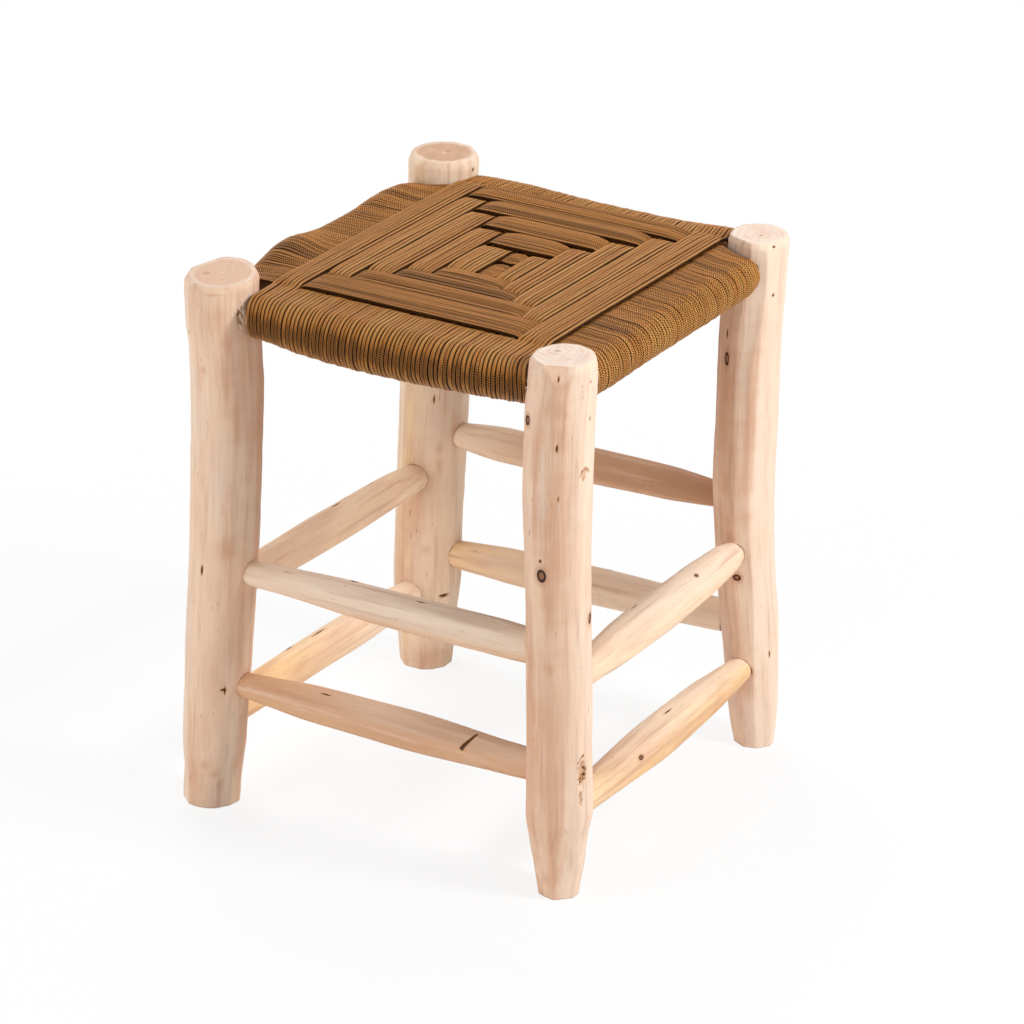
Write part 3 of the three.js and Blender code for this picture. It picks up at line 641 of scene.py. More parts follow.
def leg_heart(leg, height):
    """Heart of a leg at some heights: a straight lean, and a bow along the turn of all logs."""
    share = np.asarray(height, float) / leg["height"]
    bow = read_table(leg["profile"], share, 2) * leg["diameter"]
    x, y = (
        CENTRE[axis] + leg["side"][axis] * (
            HALF_FRAME[axis] + leg["foot_out"][axis] * (1 - share) + leg["head_out"][axis] * share
        )
        for axis in (0, 1)
    )
    return np.stack([
        x + bow * math.cos(LOG_BOW_TURN), y + bow * math.sin(LOG_BOW_TURN), share * leg["height"],
    ], -1)


def leg_radius(leg, height):
    """Radius of a leg at some heights, before it is cut."""
    share = np.asarray(height, float) / leg["height"]
    return read_table(leg["profile"], share, 1) * leg["diameter"] / 2


# Meshes


def give_vectors(mesh, name, *parts):
    """Stores a vector for each point of a mesh, from the vectors of its parts in their order."""
    vectors = np.concatenate([np.reshape(part, (-1, 3)) for part in parts])
    mesh.attributes.new(name, "FLOAT_VECTOR", "POINT").data.foreach_set("vector", vectors.ravel())


def shown_piece(name, mesh, node, materials):
    """Piece that rides on the stool and takes the place of a solid."""
    for material in materials:
        mesh.materials.append(material)
    mesh.shade_smooth()
    piece = placed(name, mesh)
    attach(piece, "root")
    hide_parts(node)


def closed_skins(name, skins):
    """Mesh of closed skins. Each is rings of points that run counterclockwise round the way they
    follow each other, and one point at each end."""
    points, faces, first = [], [], 0
    for rings, poles in skins:
        count, around = rings.shape[:2]
        points += [rings.reshape(-1, 3), poles]
        ring = first + np.arange(count - 1)[:, None] * around
        side = np.arange(around)
        beside = (side + 1) % around
        onward = ring + around
        quads = np.stack([ring + side, ring + beside, onward + beside, onward + side], -1)
        last = first + (count - 1) * around
        poles_from = first + count * around
        first_fan = np.stack([first + beside, first + side, np.full(around, poles_from)], -1)
        last_fan = np.stack([last + side, last + beside, np.full(around, poles_from + 1)], -1)
        faces += [*quads.reshape(-1, 4).tolist(), *first_fan.tolist(), *last_fan.tolist()]
        first = poles_from + 2
    mesh = bpy.data.meshes.new(name)
    mesh.from_pydata(np.concatenate(points) * MM, [], faces)
    return mesh


# Reach of a point that has no mark near it, and in millimetres of one with no rung near it
FAR_FROM_MARKS = 4.0
FAR_FROM_RUNGS = 20.0
# How much narrower than a rung's end its mark on the leg is
MOUTH_INSET = 0.7


def mark_reach(marks, turn, along, radius):
    """Distance from the nearest mark, as a share of the mark's own half width and half length."""
    nearest = np.full(np.broadcast(turn, along).shape, FAR_FROM_MARKS)
    for degrees, place, half_width, half_length in marks:
        away = turned_from(turn, math.radians(degrees))
        reach = np.hypot(away * radius / half_width, (along - place) / half_length)
        nearest = np.minimum(nearest, reach)
    return nearest


def bell(distance, width):
    """One at no distance, falling off as a bell curve of a width."""
    return np.exp(-((distance / width) ** 2))


def knot_relief(knots):
    """Low swelling round a knot and a small hollow at its eye, from the distance to it."""
    return 0.5 * bell(knots, 1.6) - 0.7 * bell(knots, 0.7)


def rung_legs(rung_name):
    """The two legs that a rung joins, by the side that its name begins with."""
    return SIDES[rung_name.split("_")[0]][2]


def joint_reach(points, leg_name):
    """Distance in millimetres from the nearest rung that comes out of the leg on that side: from
    its centre line, less its radius."""
    nearest = np.full(points.shape[:2], FAR_FROM_RUNGS)
    for rung_name, rung in RUNGS.items():
        legs = rung_legs(rung_name)
        if leg_name not in legs:
            continue
        end = legs.index(leg_name)
        start, other = (leg_heart(LEGS[legs[i]], rung["heights"][i]) for i in (end, 1 - end))
        way = unit(other - start)
        radius = rung["profile"][-end][1] * rung["diameter"] / 2 - MOUTH_INSET
        offset = points - start
        out = offset @ way
        reach = np.linalg.norm(offset - out[..., None] * way, axis=-1) - radius
        nearest = np.minimum(nearest, np.where(out > 0, reach, FAR_FROM_RUNGS))
    return nearest


def rim_cuts(leg, draw):
    """Short strokes that break the rims of a log's head and foot, at turns drawn by chance."""
    strokes = []
    for turn in np.arange(-180, 180, 45):
        turn = turn + draw.uniform(-20, 20)
        head_length, foot_length = draw.uniform(4, 9), draw.uniform(0.25, 0.6) * leg["taper_height"]
        strokes.append((turn, leg["height"] - head_length, leg["height"], draw.uniform(0.8, 2)))
        strokes.append((turn, foot_length, 0, draw.uniform(0.3, 1)))
    return strokes


def chopped(reach, turn, height, radius, cuts):
    """Section after flat strokes that run out of the end of a log: each has its turn in degrees,
    the height where it starts, the height where it is deepest, and its depth there."""
    for degrees, start, finish, depth in cuts:
        share = np.clip((height - start) / (finish - start), 0, 1)
        flat = flat_reach(turn, math.radians(degrees), radius - depth * share)
        reach = np.where(share > 0, smooth_least(reach, flat, CHOP_SOFTNESS), reach)
    return reach


# Splinters torn loose at a mortise, in millimetres: how deep the root lies in the log, half the
# width there and at the tip, the thickness as a share of the width, and their pale tone
FIBRE_ROWS = 9
FIBRE_SIDES = 5
FIBRE_ROOT = 1.2
FIBRE_HALF_WIDTHS = (2, 0.1)
FIBRE_FLATNESS = 0.5
FIBRE_TONE = (0.3, 1.3, 0)


def torn_fibre(leg, degrees, height, length, curl):
    """Splinter that starts inside the log, runs along it and curls away from it as the square of
    the way, while it tapers as one less that square."""
    share = np.linspace(0, 1, FIBRE_ROWS)
    turn = math.radians(degrees)
    out = np.array([math.cos(turn), math.sin(turn), 0])
    aside = np.array([-math.sin(turn), math.cos(turn), 0])
    start = leg_heart(leg, height) + (leg_radius(leg, height) - FIBRE_ROOT) * out
    middle = start + np.stack([0 * share, 0 * share, length * share], -1)
    middle = middle + ((FIBRE_ROOT + curl) * share**2)[:, None] * out
    round_turn = np.sign(length) * 2 * np.pi * np.arange(FIBRE_SIDES) / FIBRE_SIDES
    root, tip = FIBRE_HALF_WIDTHS
    half = ((root - tip) * (1 - share**2) + tip)[:, None, None]
    across, thick = np.sin(round_turn)[:, None], np.cos(round_turn)[:, None]
    section = thick * out * FIBRE_FLATNESS + across * aside
    return middle[:, None, :] + half * section, middle[[0, -1]]


# Logs: how finely they are made, with rows that crowd towards the head, the rings of their end
# faces, and the share of the height from which the head follows its slope. Then how uneven the
# round is, the knife's strokes and how deep they go, and how deep or high the other marks are.
LEG_SIDES = 176
LEG_ROWS = 330
ROW_CROWDING = 1.06
FACE_RINGS = 9
SLOPING_SHARE = 0.93
LOG_UNEVENNESS = 0.018
PARING_ALLOWANCE = 0.6
LOG_STROKES = 9
LOG_CUT = 1.5
FOOT_CUT = 0.5
FRESH_DEPTH = 1.6
LUMP_HEIGHT = 0.22
FLECK_DEPTH = 0.35
MOUTH_DENT = 0.4
SAW_WAVE = 0.25
# How softly a log's long knife strokes meet, and the strokes that run out of its ends
LOG_SOFTNESS = 0.3
CHOP_SOFTNESS = 0.15
# Size of an end face's rings, from its rim towards the heart, as shares of the rim's. Then the
# share at which a sawn head begins to get paler outwards, and the run over which it does.
FACE_SHARES = np.linspace(1, 0, FACE_RINGS + 2)[1:-1, None, None]
PALE_START = 0.75
PALE_RUN = 0.2


def pared_log(leg, turn, height, radius, draw):
    """Reach of a log from its heart: a lumpy round cut by knife strokes, which bite deeper towards
    the foot. Also how far the knife went in at each point, up to one."""
    barked = uneven_round(radius, turn, leg["turn"], LOG_UNEVENNESS) + PARING_ALLOWANCE
    outer = radius + PARING_ALLOWANCE
    depth = LOG_CUT + FOOT_CUT * (1 - ease(height / leg["taper_height"]))
    reach = knifed(barked, turn, height, outer, LOG_STROKES, depth, LOG_SOFTNESS, draw)
    reach = chopped(reach, turn, height, outer, [*leg["cuts"], *rim_cuts(leg, draw)])
    peel = np.clip((barked - reach) / FRESH_DEPTH, 0, 1)
    lump = wander(height + 9 * np.sin(turn), 24, draw) * np.cos(turn * 2 + wander(height, 70, draw))
    return reach + LUMP_HEIGHT * lump, peel


def torn_chips(leg, turn, height, radius, draw):
    """Where chips are torn out, up to one inside a ragged rim, how deep they are, and the cracks in
    them, which follow the zeros of a wandering value."""
    chips = mark_reach(leg["chips"], turn, height, radius)
    ragged = 0.5 + 0.5 * wander(height + 4 * np.sin(9 * turn), 4.5, draw)
    torn = ease(2.5 * (1.1 - chips * (0.7 + 0.5 * ragged)))
    curl = wander(height + 3 * np.sin(8 * turn), 6, draw)
    curl = curl + 0.5 * wander(30 * turn + height, 9, draw)
    return torn, (0.4 + 1.6 * ragged) * torn, bell(curl, 0.22)


def log_tones(leg, turn, height, radius, peel, torn, draw):
    """How yellow, pale and tan a log's side is: its own tone, painted light on its lit side by the
    cosine of the turn from that, fresh wood where the knife went in or a chip is torn, and the
    stains and painted shade."""
    yellow, pale, tan = leg["tone"]
    side_turn, side_share = leg["painted_lit_side"]
    # Painted light on the side that faces the lamps, paler by the cosine of the turn from it
    side = side_share * ease(0.1 + 0.9 * np.cos(turn - math.radians(side_turn)))
    blotch = np.clip(1 + 0.2 * wander(height + 3 * np.sin(3 * turn), 12, draw), 0.7, 1.5)
    # Stains and painted shade, both darker towards tan
    stain = bell(mark_reach(leg["stains_and_painted_shade"], turn, height, radius) * blotch, 1)
    return np.stack([
        yellow + 0.3 * torn, pale * (0.45 + 0.5 * peel) + side + 0.8 * torn,
        tan + 0.2 * (1 - peel) + leg["stain_and_shade_strength"] * stain,
    ], -1)


def with_end_faces(points, heart, draw):
    """Rings of a log with those of its foot and head faces, which shrink evenly to the heart. The
    saw left low waves on the head."""
    head = points[-1:] * FACE_SHARES + heart[-1:] * (1 - FACE_SHARES)
    head[..., 2] += SAW_WAVE * wander(head[..., 0] * 0.8 + head[..., 1] * 0.3, 5, draw)
    foot = (points[:1] * FACE_SHARES + heart[:1] * (1 - FACE_SHARES))[::-1]
    return np.concatenate([foot, points, head])


def peeled_leg(name, leg, materials):
    """Log whose section at each height is worked out round a bowed heart. Its ends are sawn flat,
    and the head's cut follows the slope in the leg's table. The end faces have the tones of the
    row beside them. Cracks in torn wood are as dark as flecks."""
    draw = np.random.default_rng(leg["seed"])
    turn = round_turns(LEG_SIDES)
    share = np.linspace(0, 1, LEG_ROWS)
    height = (leg["height"] * (1 - (1 - share) ** ROW_CROWDING))[:, None]
    radius = leg_radius(leg, height)
    reach, peel = pared_log(leg, turn, height, radius, draw)
    knots = mark_reach(leg["knots"], turn, height, radius)
    flecks = mark_reach(leg["flecks"], turn, height, radius)
    reach = reach + knot_relief(knots) - FLECK_DEPTH * bell(flecks, 1)
    torn, hollow, crack = torn_chips(leg, turn, height, radius, draw)
    flecks = np.minimum(flecks, 1.6 - torn * (0.3 + 0.6 * crack))
    heart = leg_heart(leg, height[:, 0])[:, None, :]
    out = np.stack([np.cos(turn), np.sin(turn), np.zeros_like(turn)], -1)
    points = heart + (reach - hollow)[..., None] * out
    uneven = wander(height + 6 * np.sin(5 * turn), 5, draw)
    joint = joint_reach(points, name) + 0.5 * uneven
    points = points - (MOUTH_DENT * bell(joint, 0.8))[..., None] * out
    slope = np.array([*leg["head_slope"], 0])
    from_slope = height - leg["height"] * SLOPING_SHARE
    near_head = ease(from_slope / (leg["height"] * (1 - SLOPING_SHARE)))
    points[..., 2] += near_head * ((points - heart) @ slope)
    rings = with_end_faces(points, heart, draw)
    row = np.clip(np.arange(len(rings)) - FACE_RINGS, 0, LEG_ROWS - 1)
    fibres = [torn_fibre(leg, *fibre) for fibre in leg["fibres"]]
    mesh = closed_skins("peeled_log_" + name, [(rings, heart[[0, -1], 0]), *fibres])
    loose = [part.reshape(-1, 3) for fibre in fibres for part in fibre]
    loose = np.concatenate([np.zeros((0, 3)), *loose])

    grain_start = np.array((*leg["pith"], -1000 * leg["seed"]))
    own = (rings - heart[row] * (1, 1, 0), [[0, 0, 0], [0, 0, leg["height"]]], loose)
    give_vectors(mesh, "grain", *((part - grain_start) * MM for part in own))
    tone = log_tones(leg, turn, height, radius, peel, torn, draw)[row]
    tone[-FACE_RINGS:, :, 0] = leg["heartwood"]
    tone[-FACE_RINGS:, :, 1] = ease((FACE_SHARES[..., 0] - PALE_START) / PALE_RUN)
    give_vectors(mesh, "tone", tone, [leg["tone"]] * 2, np.broadcast_to(FIBRE_TONE, loose.shape))
    marks = np.stack([knots, flecks, joint], -1)[row]
    marks[:FACE_RINGS] = marks[-FACE_RINGS:] = FAR_FROM_MARKS
    give_vectors(mesh, "mark", marks, np.full((2 + len(loose), 3), FAR_FROM_MARKS))

    kind = np.zeros(len(mesh.polygons), int)
    head_start, skin_end = (FACE_RINGS + LEG_ROWS - 1) * LEG_SIDES, (len(rings) + 1) * LEG_SIDES
    kind[: FACE_RINGS * LEG_SIDES] = kind[head_start:skin_end] = 1
    mesh.polygons.foreach_set("material_index", kind)
    shown_piece("peeled_log_" + name, mesh, "leg_" + name, materials)


# Rungs and rails: how finely they are made, the knife's strokes round a stick and how softly they
# meet, how uneven a rung is and how deep its strokes go, the part of that at its ends and the share
# of its length at which they are at full depth, its knots beside a log's and its flecks' depth, how
# much narrower a tenon becomes, and the usual radius of a leg, whose face falls back beside a rung
STICK_SIDES = 72
STICK_ROWS = 190
STICK_STROKES = 6
STICK_SOFTNESS = 0.25
RUNG_UNEVENNESS = 0.03
RUNG_CUT = 1.9
CUT_AT_ENDS = 0.2
FULL_CUT_FROM = 0.14
STICK_KNOT_SHARE = 0.6
STICK_FLECK_DEPTH = 0.3
TENON_TAPER = 0.14
ROUND_LEG = 25


def stick_tones(look, turn, share):
    """How yellow, pale and tan a stick is: a mix of its two ends' tones by the share of the way,
    and paler with painted light by the cosine of the turn from its painted lit side. Also the tones
    of its end points."""
    near_tone, far_tone = (np.array(tone) for tone in look["tones"])
    tone = near_tone + (share + 0 * turn)[..., None] * (far_tone - near_tone)
    lit_turn, paleness = look["painted_lit_side"]
    lit = np.cos(turn - math.radians(lit_turn)) * ease(share * 2)
    tone = tone + paleness * np.stack([-0.5 * lit, lit, -0.5 * lit], -1)
    return tone, [near_tone, far_tone]


def whittled_stick(name, node, material, start, end, clear, profile, look):
    """Stick between two points, whose section is a lumpy round cut by knife strokes. clear is where
    its clear length starts and ends, and a tenon runs on past both. The dark line at its mouth
    follows the leg's round face."""
    draw = np.random.default_rng(look["seed"])
    along_way = unit(end - start)
    level = unit(np.cross((0, 0, 1), along_way))
    upward = np.cross(along_way, level)
    along = np.linspace(clear[0] - TENON_DEPTH, clear[1] + TENON_DEPTH, STICK_ROWS)[:, None]
    span = clear[1] - clear[0]
    share = np.clip((along - clear[0]) / span, 0, 1)
    past = np.maximum(clear[0] - along, along - clear[1])
    radius = read_table(profile, share, 1) * look["diameter"] / 2
    radius = radius * (1 - TENON_TAPER * np.clip(past / TENON_DEPTH, 0, 1))
    turn = round_turns(STICK_SIDES)
    reach = uneven_round(radius, turn, look["turn"], look["uneven"])
    full = ease(np.minimum(share, 1 - share) / FULL_CUT_FROM)
    cut = look["cut"] * (CUT_AT_ENDS + (1 - CUT_AT_ENDS) * full)
    reach = knifed(reach, turn, along, radius, STICK_STROKES, cut, STICK_SOFTNESS, draw)
    knots, flecks = (
        mark_reach(
            [(degrees, place * span, *halves) for degrees, place, *halves in look[kind]],
            turn, share * span, radius,
        )
        for kind in ("knots", "flecks")
    )
    reach = reach + STICK_KNOT_SHARE * knot_relief(knots) - STICK_FLECK_DEPTH * bell(flecks, 1)
    centre = start + along * along_way
    out = np.cos(turn)[..., None] * level + np.sin(turn)[..., None] * upward
    rings = centre[:, None, :] + reach[..., None] * out
    mesh = closed_skins(name, [(rings, centre[[0, -1]])])
    own = np.stack([reach * np.cos(turn), reach * np.sin(turn), along + 0 * turn], -1)
    poles = np.array([[0, 0, along[0, 0]], [0, 0, along[-1, 0]]])
    grain_start = np.array((6, 5, 1000 * look["seed"]))
    give_vectors(mesh, "grain", *((part + grain_start) * MM for part in (own, poles)))
    give_vectors(mesh, "tone", *stick_tones(look, turn, share))
    aside = np.minimum(np.abs(reach * np.cos(turn)), ROUND_LEG)
    mouth = np.maximum(falling_back(ROUND_LEG, aside) - past, 0)
    marks = np.stack([knots, flecks, mouth], -1)
    give_vectors(mesh, "mark", marks, np.full((2, 3), FAR_FROM_MARKS))
    shown_piece(name, mesh, node, [material])


def whittled_rung(name, rung, material):
    """Rung between the hearts of its two legs."""
    first, second = (LEGS[leg] for leg in rung_legs(name))
    start, end = leg_heart(first, rung["heights"][0]), leg_heart(second, rung["heights"][1])
    length = np.linalg.norm(end - start)
    clear = (leg_radius(first, rung["heights"][0]), length - leg_radius(second, rung["heights"][1]))
    whittled_stick(
        "whittled_rung_" + name, "rung_" + name, material, start, end, clear,
        rung["profile"], {**rung, "uneven": RUNG_UNEVENNESS, "cut": RUNG_CUT},
    )


# Seat


class Rail:
    """Seat rail: the axis that it runs along, its place on the other axis, and what winds on it."""

    def __init__(self, name, axis, side, legs):
        low, high = (np.array(corner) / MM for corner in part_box("seat_rail_" + name))
        self.name, self.axis, self.side = name, axis, side
        self.legs = [LEGS[leg] for leg in legs]
        self.diameter = high[2] - low[2]
        self.height = (low[2] + high[2]) / 2
        self.place = CENTRE[1 - axis] + side * HALF_FRAME[1 - axis]
        self.reach = self.diameter / 2 + JOINT_GAP + BAND_THICKNESS / 2

    def ends(self, height):
        """Places of the two legs' inner faces along the rail, at a height."""
        return [
            leg_heart(leg, height)[self.axis] - leg["side"][self.axis] * leg_radius(leg, height)
            for leg in self.legs
        ]

    def spread(self, share, outside):
        """How far the winding moves along the rail to follow the round legs, where it stands out
        from the rail's centre line: a part of their falling back there, by the fifth power of the
        share of the way along the rail."""
        low, high = (falling_back(leg_radius(leg, self.height), outside) for leg in self.legs)
        low_part, high_part = SPREADS[self.name]
        return high * high_part * share**5 - low * low_part * (1 - share) ** 5


RAILS = {name: Rail(name, *side) for name, side in SIDES.items()}
WEAVE_HEIGHT = RAILS["front"].height + RAILS["front"].reach
LEVEL_STEP = (BAND_THICKNESS + JOINT_GAP) / 2
UNDERSIDE = WEAVE_HEIGHT - RAILS["front"].reach - RAILS["left"].reach

# The seat cord in millimetres: from one to the next, its thickness, and the length of a pick
CORD_PITCH = 3.6
CORD_THICKNESS = 3.5
CORD_SIDES = 10
BRAID_CARRIERS = 4
BRAID_PICK = 1.8
# How unlike the cords are: in width, in how far they stray sideways and up, and in dye
CORD_UNLIKENESS = 0.11
CORD_STRAY = 0.4
CORD_RISE = 0.2
CORD_STEP = 0.15
DYE_SPREAD = 0.33
# Half the way over which a band dives, the way over which it narrows, the run of an arch, how near
# a rail the winding begins, and the waves on the winding
CROSSING_REACH = 4.2
NARROWING_RUN = 8
ARCH_RUN = 16
WINDING_REACH = 25
WAVE_HEIGHT = 0.2
WAVE_LENGTH = 13.5
# Stations along a band: their step on top and the least step there, those at each dive and how far
# they spread as a share of its reach, their turn round a rail in degrees, and those underneath
TOP_STEP = 6.0
LEAST_STEP = 0.6
DIVE_STATIONS = 9
DIVE_SPREAD = 1.3
RAIL_TURN_STEP = 9
UNDERSIDE_STATIONS = 34
# Where the cord stands up from a rail: a place along it, how far on either side, and how much
SWELLS = {
    "front": [],
    "back": [(0, 500, 1), (-80, 50, 2.4), (-141, 15, -5.4), (120, 35, 2.8)],
    "left": [(0, 500, 0.6), (-112, 22, -3), (-52, 28, 5.4), (88, 34, 3), (140, 16, -6)],
    "right": [(142, 17, -8)],
}
# How far the winding hangs under a rail: a share of the rail's clear length, and how much
SAGS = {
    "front": [(0, -3), (0.07, -2.2), (0.2, 1.2), (0.4, 2.8), (0.6, 2.2), (0.81, -0.1), (1, -2.8)],
    "back": [(0, -1), (0.5, 1.5), (1, -1)],
    "left": [(0, -1), (0.5, 1.5), (1, -1)],
    "right": [(0, 0.8), (0.1, 1.2), (0.3, 0.2), (1, -0.8)],
}
# How much of the round legs' falling back the winding follows, at either end of a rail
SPREADS = {"front": (-0.7, 1), "back": (0.6, 0.6), "left": (0.6, 0.6), "right": (1, -0.3)}
# Painted light and shade on the cord's outer face of each rail, paler where positive and darker
# where negative, and the painted highlight where it turns over the edge of a rail
PAINTED_FACE_LIGHT_AND_SHADE = {"front": -0.85, "back": -0.15, "left": -0.15, "right": 0.4}
PAINTED_EDGE_HIGHLIGHT = 0.28
# Edges between the bands where they cross, for front-to-back bands and for left-to-right ones
LONG_EDGES = CENTRE[0] + HALF_FRAME[0] * np.array(LONG_BAND_EDGE_SHARES)
CROSS_EDGES = CENTRE[1] + HALF_FRAME[1] * np.array(CROSS_BAND_EDGE_SHARES)


def rank_of(index, count):
    """Rank of a band counted inwards from the nearer edge of the seat."""
    return min(index, count - 1 - index)


def long_is_on_top(long, cross):
    """A front-to-back band lies on top where its square is at least as far out as the other's."""
    return rank_of(long, len(LONG_EDGES) - 1) <= rank_of(cross, len(CROSS_EDGES) - 1)


def edges_on_rail(edges, rail):
    """Edges of the bands wound on a rail, spread evenly between its legs."""
    heights = (WEAVE_HEIGHT, rail.height, rail.height - rail.reach)
    ends = [rail.ends(height) for height in heights]
    low = max(end[0] for end in ends) + BAND_TO_LEG_GAP
    high = min(end[1] for end in ends) - BAND_TO_LEG_GAP
    return np.interp(edges, (edges[0], edges[-1]), (low, high))


def top_levels(places, edges, levels, arch):
    """Height of a band over the weave's own level. It changes smoothly about the edges where it
    dives or comes up, and between two such edges a band on top arches."""
    steps = np.diff([0, *levels, 0])
    height = sum(
        step * ease((places - edge) / (2 * CROSSING_REACH) + 0.5)
        for step, edge in zip(steps, edges)
    )
    turns = [0, *(i for i in range(1, len(levels)) if steps[i] != 0), len(levels)]
    lift = np.zeros_like(places)
    for first, last in zip(turns[:-1], turns[1:]):
        if levels[first] > 0:
            inside = np.minimum(places - edges[first], edges[last] - places)
            lift = lift + ease(inside / min(ARCH_RUN, (edges[last] - edges[first]) / 2))
    return height + arch * lift, lift


def band_route(rails, crossed, levels, arch, low_level):
    """Places and heights of a band's middle all the way round: over the weave, down round the
    second rail, back underneath and up round the first. Returns them with how far an arch lifts
    each place, and how far it lies under a rail."""
    first, second = rails
    span = np.arange(first.place, second.place, TOP_STEP)[1:]
    dives = [
        edge + CROSSING_REACH * np.linspace(-DIVE_SPREAD, DIVE_SPREAD, DIVE_STATIONS)
        for i, edge in enumerate(crossed)
        if i in (0, len(levels)) or levels[i] != levels[i - 1]
    ]
    top = np.unique(np.concatenate([[first.place, second.place], span, *dives]).round(2))
    top = top[np.concatenate([[True], np.diff(top) > LEAST_STEP])]
    heights, lift = top_levels(top, crossed, levels, arch)
    stretches = [(top, WEAVE_HEIGHT + heights, lift, 0 * top)]
    for rail, start in ((second, 90), (first, -90)):
        turn = np.radians(np.arange(start, start - 181, -RAIL_TURN_STEP)[1:-1])
        stretches.append((
            rail.place + rail.reach * np.cos(turn), rail.height + rail.reach * np.sin(turn),
            0 * turn, np.clip(-np.sin(turn) + 0.2, 0, 1),
        ))
        if rail is second:
            back = np.linspace(second.place, first.place, UNDERSIDE_STATIONS)
            margin = abs(second.place - crossed[-1])
            fall = ease((second.place - back) / margin) * ease((back - first.place) / margin)
            bottoms = np.interp(back, (first.place, second.place), (
                first.height - first.reach, second.height - second.reach))
            under = UNDERSIDE + low_level
            stretches.append((back, bottoms * (1 - fall) + under * fall, 0 * back, 1 - fall))
    return [np.concatenate(parts) for parts in zip(*stretches)]


def swell_on(rail, across):
    """How far the winding stands up from a rail at places along it: a sum of bell curves."""
    return sum(
        amount * bell(across - CENTRE[rail.axis] - place, reach)
        for place, reach, amount in SWELLS[rail.name]
    )


def band_sides(index, edges, rails, on_rails, place, turns_in):
    """The two sides of a band at places along it. They ease from its edges in the weave to those on
    each rail, and follow the round legs where the band stands out from a rail."""
    outside = np.abs(place - np.clip(place, rails[0].place, rails[1].place))
    beyond = (place < rails[0].place, place > rails[1].place)
    sides = []
    for edge in (index, index + 1):
        across = np.full_like(place, edges[edge])
        for rail, on_rail, turn_in, is_beyond in zip(rails, on_rails, turns_in, beyond):
            share = ease((place - turn_in) / (rail.place - turn_in))
            across = across + share * (on_rail[edge] - edges[edge])
            part = (on_rail[edge] - on_rail[0]) / (on_rail[-1] - on_rail[0])
            across = across + is_beyond * rail.spread(part, outside)
        sides.append(across)
    return sides


def closed_waves(loop, orders, count, draw):
    """Mean of sines that close once round the band, for each cord with phases drawn by chance."""
    return sum(
        np.sin(2 * np.pi * (order * loop + draw.random((count, 1)))) for order in orders
    ) / len(orders)


def ways_along(route, axis):
    """The ways beside and out of each cord at its stations, by cross products of its way onward."""
    ahead = unit(np.roll(route, -1, 1) - np.roll(route, 1, 1))
    sideways = np.zeros(3)
    sideways[1 - axis] = 1 if axis == 1 else -1
    face = unit(np.cross(sideways, ahead))
    return np.cross(ahead, face), face


def on_the_rails(place, across, wrap, outwards, rails, on_rails):
    """How far cords stand out from a flat winding, by the swells, sags and small waves, and their
    painted light: painted light and shade by the fourth power of how far they face outwards, and a
    painted highlight at the edge."""
    belly = WAVE_HEIGHT * wrap * np.sin(2 * np.pi * across / WAVE_LENGTH)
    painted_light = np.zeros_like(across)
    inside = np.clip(place, rails[0].place, rails[1].place)
    for rail, on_rail in zip(rails, on_rails):
        near = ease(1 - np.abs(rail.place - inside) / WINDING_REACH)
        outward = np.clip(outwards * rail.side, 0, 1)
        edge_highlight = 4 * outward**2 * (1 - outward**2)
        # Painted shade and light on the rail's outer face, and a painted highlight at its edge
        painted_light = painted_light + near * (PAINTED_FACE_LIGHT_AND_SHADE[rail.name] * outward**4 + PAINTED_EDGE_HIGHLIGHT * edge_highlight)
        along_rail = np.clip((across - on_rail[0]) / (on_rail[-1] - on_rail[0]), 0, 1)
        sag = wrap * read_table(SAGS[rail.name], along_rail, 1)
        belly = belly + near * (swell_on(rail, across) + sag)
    return belly, painted_light


